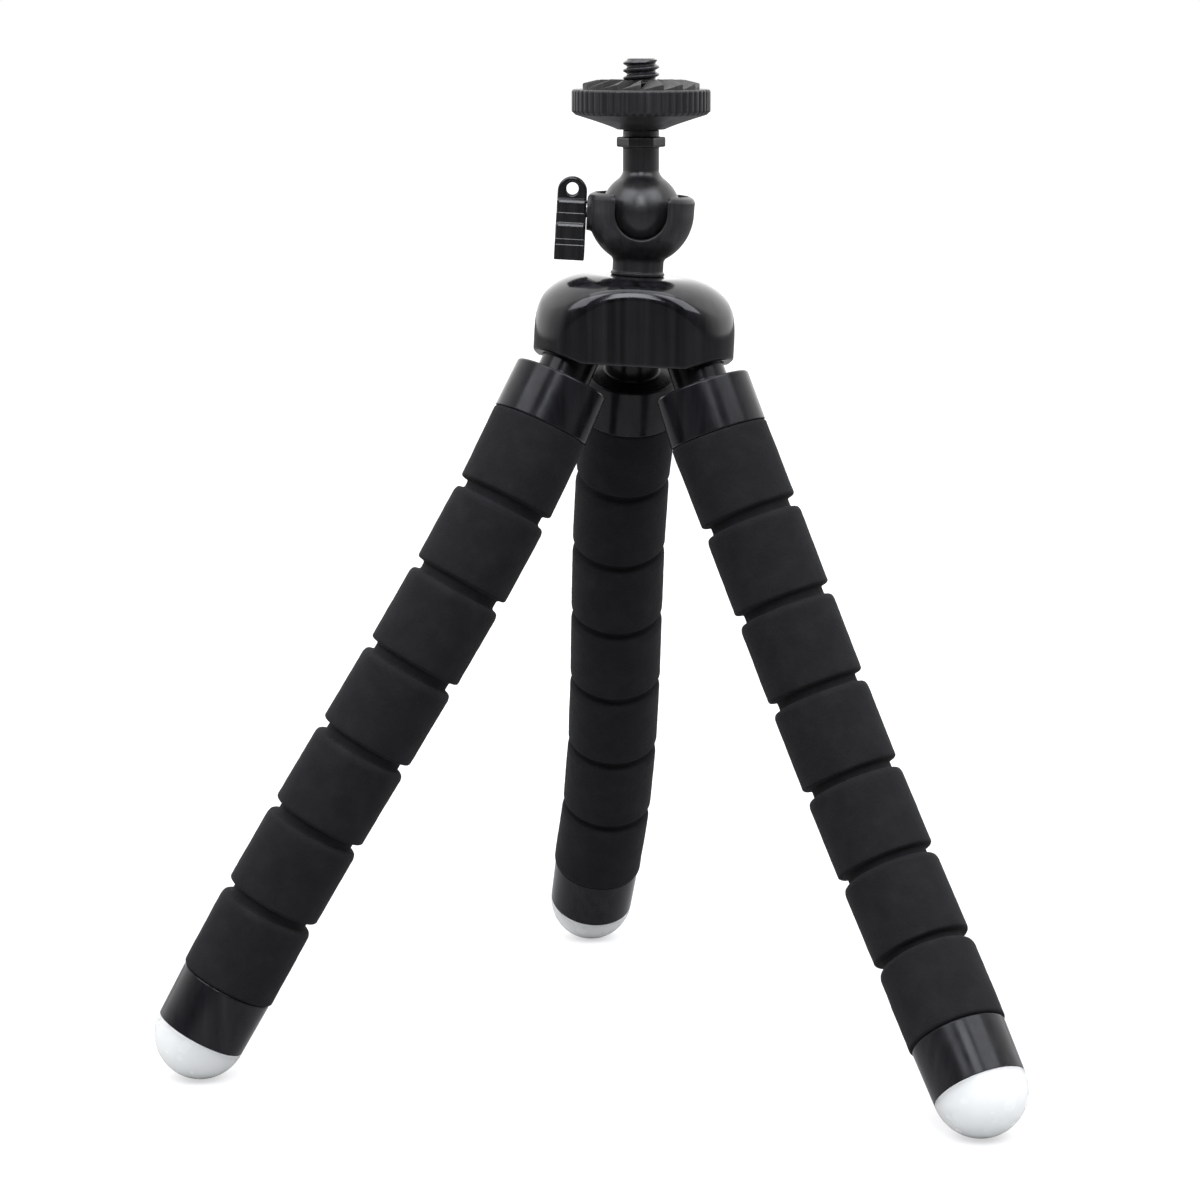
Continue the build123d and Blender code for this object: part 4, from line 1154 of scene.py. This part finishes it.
def dust_and_wear(name):
    """Group: thin dust in patches and pale wear on edges, over a colour and a roughness."""
    group, given, result = new_group(
        name, {"Color": (0, 0, 0, 1), "Roughness": 0.3, "Dust Color": (0.2, 0.2, 0.19, 1),
               "Dust Amount": 0.05, "Wear Amount": 0.2}, ("Color", "Roughness"))
    patches = ramp(group, texture_noise(group, PATCH_SCALE, detail=6.0), *PATCH_RANGE)
    specks = ramp(group, texture_noise(group, SPECK_SCALE, detail=2.0), *SPECK_RANGE)
    dust = times(group, plus(group, patches, specks), given["Dust Amount"])
    edge = ramp(group, put(group, "ShaderNodeNewGeometry").outputs["Pointiness"], *EDGE_RANGE)
    scuffs = times(group, edge, texture_noise(group, SCUFF_SCALE, detail=5.0))
    wear = times(group, scuffs, given["Wear Amount"])
    pale = plus(group, dust, times(group, wear, PALE_SHARE))
    dull = times(group, plus(group, dust, wear), DULL_SHARE)
    connect(group, result, {"Color": mixed(group, pale, given["Color"], given["Dust Color"]),
                            "Roughness": plus(group, given["Roughness"], dull)})
    return group


def foam_cells(name):
    """Group: small closed cells of ground foam, as a height and a shade."""
    group, given, result = new_group(name, {"Cell Scale": 3500.0, "Patch Scale": 300.0}, ("Height", "Shade"))
    cells = put(group, "ShaderNodeTexVoronoi", {"Vector": own_place(group), "Scale": given["Cell Scale"]})
    fuzz = texture_noise(group, times(group, given["Cell Scale"], FUZZ_SCALE), detail=5.0)
    patches = texture_noise(group, given["Patch Scale"], detail=4.0)
    shade = plus(group, times(group, patches, PATCH_SHADE), times(group, fuzz, FUZZ_SHADE))
    height = plus(group, times(group, cells.outputs["Distance"], CELL_HEIGHT), fuzz)
    connect(group, result, {"Height": height, "Shade": shade})
    return group


def turned_marks(name):
    """Group: fine rings that a cutting tool leaves round an upright metal piece."""
    group, given, result = new_group(name, {"Ring Scale": 9000.0}, ("Height", "Shade"))
    rings = texture_noise(group, given["Ring Scale"], stretch=RING_STRETCH)
    shade = times(group, rings, texture_noise(group, SMUDGE_SCALE))
    connect(group, result, {"Height": rings, "Shade": shade})
    return group


GROUPS = {"Moulded skin": moulded_skin, "Dust and wear": dust_and_wear, "Foam cells": foam_cells,
          "Turned marks": turned_marks}


def use_group(tree, name, values):
    """Outputs of a shared group, which is made the first time it is asked for."""
    group = bpy.data.node_groups.get(name) or GROUPS[name](name)
    return put(tree, "ShaderNodeGroup", values, node_tree=group).outputs


def rgba(colour):
    """Colour with full alpha."""
    return (*colour, 1.0)


# relief names a group, rough_by and shade_by its masks, and bump is in millimetres
Finish = namedtuple("Finish", "slot relief scales rough_by rough shade_by shade bump dust_and_wear constants")


def plastic(slot, ripple, rough, shade, bump, dust, wear, specular):
    """Black moulded plastic, from gloss to satin."""
    return Finish(slot, "Moulded skin", {"Ripple Scale": ripple}, "Ripple", rough, "Flow Marks and Painted Reflection", shade, bump,
                  {"Dust Amount": dust, "Wear Amount": wear}, {"Specular IOR Level": specular})


def metal(slot, rough, metallic):
    """Turned metal, bare or blackened."""
    dust = {"Dust Amount": 0.02, "Dust Color": (0.4, 0.4, 0.41, 1.0), "Wear Amount": 0.5}
    return Finish(slot, "Turned marks", {}, "Shade", rough, None, None, 0.01, dust, {"Metallic": metallic})


# a plastic's row: slot, ripple scale, roughness, shade, bump, dust, wear, specular level
FINISHES = {
    # the hub's colour is darkened in upright streaks: flow marks, and painted streaky reflections on its glossy
    # front
    "hub_gloss": plastic("hub_gloss", 240.0, (0.09, 0.16), (0.1, 0.95), 0.02, 0.006, 0.15, 0.4),
    "collar_gloss": plastic("hub_gloss", 240.0, (0.17, 0.25), (0.4, 1.0), 0.02, 0.004, 0.15, 0.2),
    "head_plastic": plastic("head_plastic", 500.0, (0.28, 0.38), (0.6, 1.4), 0.015, 0.015, 0.2, 0.25),
    "ball_satin": plastic("head_plastic", 500.0, (0.3, 0.36), (0.25, 0.75), 0.02, 0.01, 0.2, 0.5),
    "knob_gloss": plastic("knob_gloss", 500.0, (0.12, 0.2), (0.4, 1.1), 0.01, 0.006, 0.2, 0.4),
    "pad_rubber": plastic("pad_rubber", 900.0, (0.5, 0.65), (0.6, 1.4), 0.02, 0.1, 0.3, 0.5),
    "foam": Finish("foam", "Foam cells", {}, "Shade", (0.75, 0.95), "Shade", (0.75, 1.25), 0.06,
                   {"Dust Amount": 0.02, "Wear Amount": 0.06},
                   {"Specular IOR Level": 0.08, "Sheen Weight": 0.03, "Sheen Roughness": 0.4}),
    "milky_tip": Finish("milky_tip", "Moulded skin", {"Ripple Scale": 300.0}, "Ripple", (0.18, 0.3), "Cloud",
                        (1.03, 1.08), 0.01,
                        {"Dust Amount": 0.01, "Dust Color": (0.55, 0.53, 0.5, 1.0), "Wear Amount": 0.0},
                        {"Subsurface Weight": 1.0, "Subsurface Radius": (9 * MM, 9 * MM, 9 * MM),
                         "Subsurface Scale": 1.0, "IOR": 1.5}),
    "black_screw": metal("black_screw", (0.22, 0.34), 0.4),
    "screw_steel": metal("screw_steel", (0.25, 0.4), 1.0),
    "insert_brass": metal("insert_brass", (0.25, 0.4), 1.0),
    "core_aluminium": metal("core_aluminium", (0.3, 0.5), 1.0),
}


def new_material(name, constants):
    """Material with a Principled shader, its plain values set on its own sockets."""
    material = bpy.data.materials.new(name)
    material.use_nodes = True
    shader = material.node_tree.nodes["Principled BSDF"]
    for label, value in constants.items():
        shader.inputs[label].default_value = value
    return material, material.node_tree, shader


def finish_named(finish):
    """Material of a finish, made the first time it is asked for."""
    name = finish + "_finish"
    return bpy.data.materials.get(name) or make_finish(name, FINISHES[finish])


def make_finish(name, kind):
    """Material with relief, uneven gloss and shade, dust and worn edges."""
    material, tree, shader = new_material(name, kind.constants)
    relief = use_group(tree, kind.relief, kind.scales)
    colour = getattr(bpy.context.scene.tripod_finishes, kind.slot)
    base = rgba(colour)
    if kind.shade:
        cloudy = kind.shade_by == "Cloud"
        mask = texture_noise(tree, CLOUD_SCALE, CLOUD_DETAIL) if cloudy else relief[kind.shade_by]
        base = put(tree, "ShaderNodeVectorMath", {0: tuple(colour), "Scale": uneven(tree, mask, *kind.shade)},
                   operation="SCALE").outputs[0]
    rough = uneven(tree, relief[kind.rough_by], *kind.rough)
    worn = use_group(tree, "Dust and wear", {"Color": base, "Roughness": rough, **kind.dust_and_wear})
    normal = put(tree, "ShaderNodeBump", {"Height": relief["Height"], "Distance": kind.bump * MM,
                                          "Strength": 1.0}).outputs[0]
    connect(tree, shader, {"Base Color": worn["Color"], "Roughness": worn["Roughness"], "Normal": normal})
    return material


# Stage

# azimuth goes from the camera's side towards the right, elevation up from the floor, both in degrees
SoftBox = namedtuple("SoftBox", "name brightness azimuth elevation distance width height")
SOFT_BOXES = (SoftBox("front_box", "front_box", 1.0, 40.0, 1.0, 0.3, 0.5),
              SoftBox("top_box", "top_box", 0.0, 84.0, 0.9, 0.8, 0.8),
              SoftBox("left_box", "side_box", -50.0, 48.0, 1.0, 0.65, 0.6),
              SoftBox("right_box", "side_box", 52.0, 48.0, 1.0, 0.65, 0.6))
FLOOR_CORNERS = 96
DIM_UNTIL, BRIGHT_FROM = -0.7, 0.5


def seen_by_camera(tree):
    """1 for what the camera sees, straight or through a clear piece, else 0."""
    path = put(tree, "ShaderNodeLightPath").outputs
    return maths(tree, "MAXIMUM", path["Is Camera Ray"], path["Is Transmission Ray"])


class TRIPOD_OT_stage(bpy.types.Operator):
    """Make the floor, the lamps, the surroundings and the camera"""
    bl_idname = "tripod.stage"
    bl_label = "Stage"

    def execute(self, context):
        scene = context.scene
        stage = scene.tripod_stage
        self.make_floor(stage)
        self.make_surroundings(scene, stage)
        self.make_lamps(stage)
        self.make_camera(scene, stage)
        scene.view_settings.view_transform = "Standard"
        return {"FINISHED"}

    def make_floor(self, stage):
        """Pale floor that shows the object's shadow and turns white for the camera."""
        angles = even_angles(FLOOR_CORNERS)
        rim = np.stack((np.cos(angles), np.sin(angles), 0 * angles), axis=1) * stage.floor_radius
        mesh = bpy.data.meshes.new("floor")
        mesh.from_pydata(rim.tolist(), [], [list(range(len(rim)))])
        floor = bpy.data.objects.new("floor", mesh)
        bpy.context.scene.collection.objects.link(floor)
        material, tree, shader = new_material("floor_white", {"Roughness": 0.9})
        away = put(tree, "ShaderNodeVectorMath", {0: own_place(tree)}, operation="LENGTH").outputs["Value"]
        spread = ramp(tree, away, stage.floor_near, stage.floor_far, interpolation_type="SMOOTHSTEP")
        shade = mixed(tree, spread, rgba(stage.floor_colour), rgba(stage.floor_far_colour))
        tree.links.new(shade, shader.inputs["Base Color"])
        lift = ramp(tree, spread, 0.0, 1.0, stage.floor_lift, 1.0)
        glow = put(tree, "ShaderNodeEmission", {"Strength": times(tree, seen_by_camera(tree), lift)})
        both = put(tree, "ShaderNodeAddShader", {0: shader.outputs[0], 1: glow.outputs[0]})
        tree.links.new(both.outputs[0], tree.nodes["Material Output"].inputs["Surface"])
        mesh.materials.append(material)

    def make_surroundings(self, scene, stage):
        """White all round for the camera. What lights the object is darker towards the camera's side."""
        world = bpy.data.worlds.new("surroundings")
        world.use_nodes = True
        scene.world = world
        tree = world.node_tree
        direction = put(tree, "ShaderNodeTexCoord").outputs["Generated"]
        forward = put(tree, "ShaderNodeSeparateXYZ", {0: direction}).outputs["Y"]
        strength = ramp(tree, forward, DIM_UNTIL, BRIGHT_FROM, stage.front_light, stage.back_light,
                        interpolation_type="SMOOTHSTEP")
        shown = put(tree, "ShaderNodeMix", {0: seen_by_camera(tree), 2: strength, 3: 1.0}, data_type="FLOAT"
                    ).outputs[0]
        background = tree.nodes["Background"]
        background.inputs["Color"].default_value = (1.0, 1.0, 1.0, 1.0)
        tree.links.new(shown, background.inputs["Strength"])

    def make_lamps(self, stage):
        """Soft boxes, each aimed at the middle of the object."""
        middle = Vector((np.array(cad_box[0]) + cad_box[1]) / 2)
        for box in SOFT_BOXES:
            across, up = math.radians(box.azimuth), math.radians(box.elevation)
            direction = Vector((math.sin(across) * math.cos(up), -math.cos(across) * math.cos(up),
                                math.sin(up)))
            data = bpy.data.lights.new(box.name, "AREA")
            data.shape = "RECTANGLE"
            data.size, data.size_y = box.width, box.height
            data.energy = getattr(stage, box.brightness) * box.width * box.height * math.pi
            data.color = stage.box_colour
            lamp = bpy.data.objects.new(box.name, data)
            lamp.location = middle + direction * box.distance
            lamp.rotation_euler = (-direction).to_track_quat("-Z", "Y").to_euler()
            bpy.context.scene.collection.objects.link(lamp)

    def make_camera(self, scene, stage):
        """Camera at the photograph's viewing angle."""
        data = bpy.data.cameras.new("camera")
        data.lens = data.sensor_width / 2 / math.tan(stage.camera_view / 2)
        data.clip_start, data.clip_end = 10 * MM, 100.0
        camera = bpy.data.objects.new("camera", data)
        camera.location = stage.camera_place
        camera.rotation_euler = (math.pi / 2 - stage.camera_pitch, 0, stage.camera_turn)
        scene.collection.objects.link(camera)
        scene.camera = camera


# What a user may change

def length(name, description, default):
    """Length property."""
    return FloatProperty(name=name, description=description, default=default, min=0.0, unit="LENGTH",
                         precision=5)


def level(name, description, default, **limits):
    """Plain number that isn't negative."""
    return FloatProperty(name=name, description=description, default=default, **{"min": 0.0, **limits})


def angle(name, description, degrees):
    """Angle property."""
    return FloatProperty(name=name, description=description, default=math.radians(degrees), unit="ROTATION")


def tint(name, description, default):
    """Colour property."""
    return FloatVectorProperty(name=name, description=description, default=default, size=3, min=0.0, max=1.0,
                               subtype="COLOR")


def slot_colour(name, slot_name):
    """Colour property that starts as the record's colour of a slot."""
    return tint(name, f"Colour of the {name.lower()}", COLOURS[slot_name])


class TripodSizes(bpy.types.PropertyGroup):
    """Sizes of the looks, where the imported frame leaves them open"""
    hub_crest: length("Hub crest", "Rounding between the hub's dome and its walls", 1.1 * MM)
    hub_edge: length("Hub edge", "Rounding of the hub's lower edge", 0.35 * MM)
    cup_edge: length("Cup edge", "Rounding of the cup's slot", 0.35 * MM)
    cup_rim: length("Cup rim", "Rounding of the cup's outer rim", 0.6 * MM)
    cup_fillet: length("Cup fillet", "Filling between the cup and its neck", 0.5 * MM)
    stem_fillet: length("Stem fillet", "Filling between the stem and the ball", 0.9 * MM)
    stop_edge: length("Stop edge", "Rounding of the six-sided stop", 0.3 * MM)
    knob_edge: length("Knob edge", "Rounding of the wing knob", 0.45 * MM)
    wheel_edge: length("Wheel edge", "Rounding of the wheel's rim", 0.45 * MM)
    rib_depth: length("Rib depth", "Depth between the ribs of the wheel", 0.33 * MM)
    tooth_height: length("Tooth height", "Height of the pad's teeth", 1.45 * MM)
    thread_pitch: length("Thread pitch", "Advance of the camera screw in one turn", 1.27 * MM)
    thread_depth: length("Thread depth", "Depth of the camera screw's thread", 0.62 * MM)
    thread_step: length("Thread step", "Distance between rows of the thread's mesh", 0.05 * MM)
    collar_edge: length("Collar edge", "Rounding of the collars", 0.5 * MM)
    cap_edge: length("Cap edge", "Rounding of the foot caps", 0.4 * MM)
    wire_edge: length("Wire edge", "Bevel at the ends of a length of wire", 0.1 * MM)
    groove_width: length("Groove width", "Width of a groove in the foam", 2.1 * MM)
    groove_depth: length("Groove depth", "Depth of a groove in the foam", 1.4 * MM)
    groove_round: length("Groove rounding", "Rounding of a groove's floor", 0.45 * MM)
    bead_ramp: length("Bead ramp", "Slope at the top of each bead", 0.9 * MM)
    bead_top_round: length("Bead top rounding", "Rounding of a bead's upper edge", 0.9 * MM)
    bead_bottom_round: length("Bead bottom rounding", "Rounding of a bead's lower edge", 0.55 * MM)
    mouth_round: length("Sleeve end rounding", "Rounding where a sleeve meets its collar or cap", 0.5 * MM)
    foam_unevenness: length("Foam unevenness", "Waviness of the ground foam", 0.07 * MM)
    bend_length: length("Bend length", "Foam that bends on each side of a groove", 5.5 * MM)
    net_step: length("Hub fineness", "Mesh step of the hub shell", 0.3 * MM)
    head_step: length("Head fineness", "Mesh step of the cup and ball", 0.2 * MM)
    knob_step: length("Knob fineness", "Mesh step of the wing knob", 0.14 * MM)
    wheel_curve: level("Wheel curve", "Hollowness of the wheel's underside, 1 is straight", 0.88,
                       min=0.3, max=1.0)
    rib_count: IntProperty(name="Ribs", description="Ribs round the wheel", default=54, min=12)
    tooth_count: IntProperty(name="Teeth", description="Teeth of the pad", default=16, min=3)


class TripodFinishes(bpy.types.PropertyGroup):
    """Colours of the finishes"""
    hub_gloss: slot_colour("Gloss plastic", "hub_gloss")
    head_plastic: slot_colour("Satin plastic", "head_plastic")
    knob_gloss: slot_colour("Knob plastic", "knob_gloss")
    foam: slot_colour("Foam", "foam")
    milky_tip: slot_colour("Foot tips", "milky_tip")
    pad_rubber: slot_colour("Pad rubber", "pad_rubber")
    black_screw: slot_colour("Camera screw", "black_screw")
    screw_steel: slot_colour("Steel screws", "screw_steel")
    insert_brass: slot_colour("Brass insert", "insert_brass")
    core_aluminium: slot_colour("Core wires", "core_aluminium")


class TripodStage(bpy.types.PropertyGroup):
    """Camera, floor and light"""
    camera_place: FloatVectorProperty(name="Camera place", description="Where the camera stands", size=3,
                                      default=(8.6 * MM, -645.4 * MM, 183.3 * MM), subtype="TRANSLATION",
                                      precision=4)
    camera_pitch: angle("Camera pitch", "How far the camera looks down", 9.19)
    camera_turn: angle("Camera turn", "How far the camera looks to its left", 0.5)
    camera_view: angle("Camera view", "Angle that the square picture takes in", 18.66)
    floor_radius: length("Floor radius", "Reach of the floor", 6.0)
    floor_near: length("Floor near", "Distance within which the floor has its full colour", 0.09)
    floor_far: length("Floor far", "Distance beyond which the floor is plain white", 0.3)
    floor_colour: tint("Floor colour", "Colour of the floor by the feet", (0.38, 0.38, 0.38))
    floor_far_colour: tint("Far floor colour", "Colour of the floor further off", (0.18, 0.18, 0.18))
    floor_lift: level("Floor lift", "White added to the floor for the camera", 0.56)
    front_light: level("Front light", "Surroundings on the camera's side", 0.03)
    back_light: level("Back light", "Surroundings behind the object", 1.6)
    box_colour: tint("Box colour", "Colour of the soft boxes", (0.93, 0.95, 1.0))
    front_box: level("Front box", "Brightness of the front soft box", 9.0)
    top_box: level("Top box", "Brightness of the overhead soft box", 2.6)
    side_box: level("Side boxes", "Brightness of each side soft box", 4.6)


class TRIPOD_PT_panel(bpy.types.Panel):
    """Lists the pieces to build and the sizes, colours and stage that they use"""
    bl_label = "Tripod"
    bl_idname = "TRIPOD_PT_panel"
    bl_space_type = "VIEW_3D"
    bl_region_type = "UI"
    bl_category = "Tripod"

    def draw(self, context):
        layout = self.layout
        for operator in OPERATORS:
            layout.operator(operator.bl_idname)
        for group in (context.scene.tripod_sizes, context.scene.tripod_finishes, context.scene.tripod_stage):
            box = layout.box()
            for key in group.__annotations__:
                box.prop(group, key)


OPERATORS = (TRIPOD_OT_hub, TRIPOD_OT_ball_cup, TRIPOD_OT_clamp_knob, TRIPOD_OT_ball_stem,
             TRIPOD_OT_camera_screw, TRIPOD_OT_lock_wheel, TRIPOD_OT_platform_pad, TRIPOD_OT_collars,
             TRIPOD_OT_foam_sleeves, TRIPOD_OT_core_wires, TRIPOD_OT_feet, TRIPOD_OT_stage)
CLASSES = (TripodSizes, TripodFinishes, TripodStage, *OPERATORS, TRIPOD_PT_panel)


def register():
    """Register the classes and hang the properties on the scene."""
    for cls in CLASSES:
        bpy.utils.register_class(cls)
    bpy.types.Scene.tripod_sizes = PointerProperty(type=TripodSizes)
    bpy.types.Scene.tripod_finishes = PointerProperty(type=TripodFinishes)
    bpy.types.Scene.tripod_stage = PointerProperty(type=TripodStage)


def unregister():
    """Take the properties and classes away again."""
    del bpy.types.Scene.tripod_sizes, bpy.types.Scene.tripod_finishes, bpy.types.Scene.tripod_stage
    for cls in reversed(CLASSES):
        bpy.utils.unregister_class(cls)


def main():
    """Build every piece and the stage."""
    register()
    for operator in OPERATORS:
        getattr(bpy.ops.tripod, operator.bl_idname.split(".")[1])()


if __name__ == "__main__":
    main()
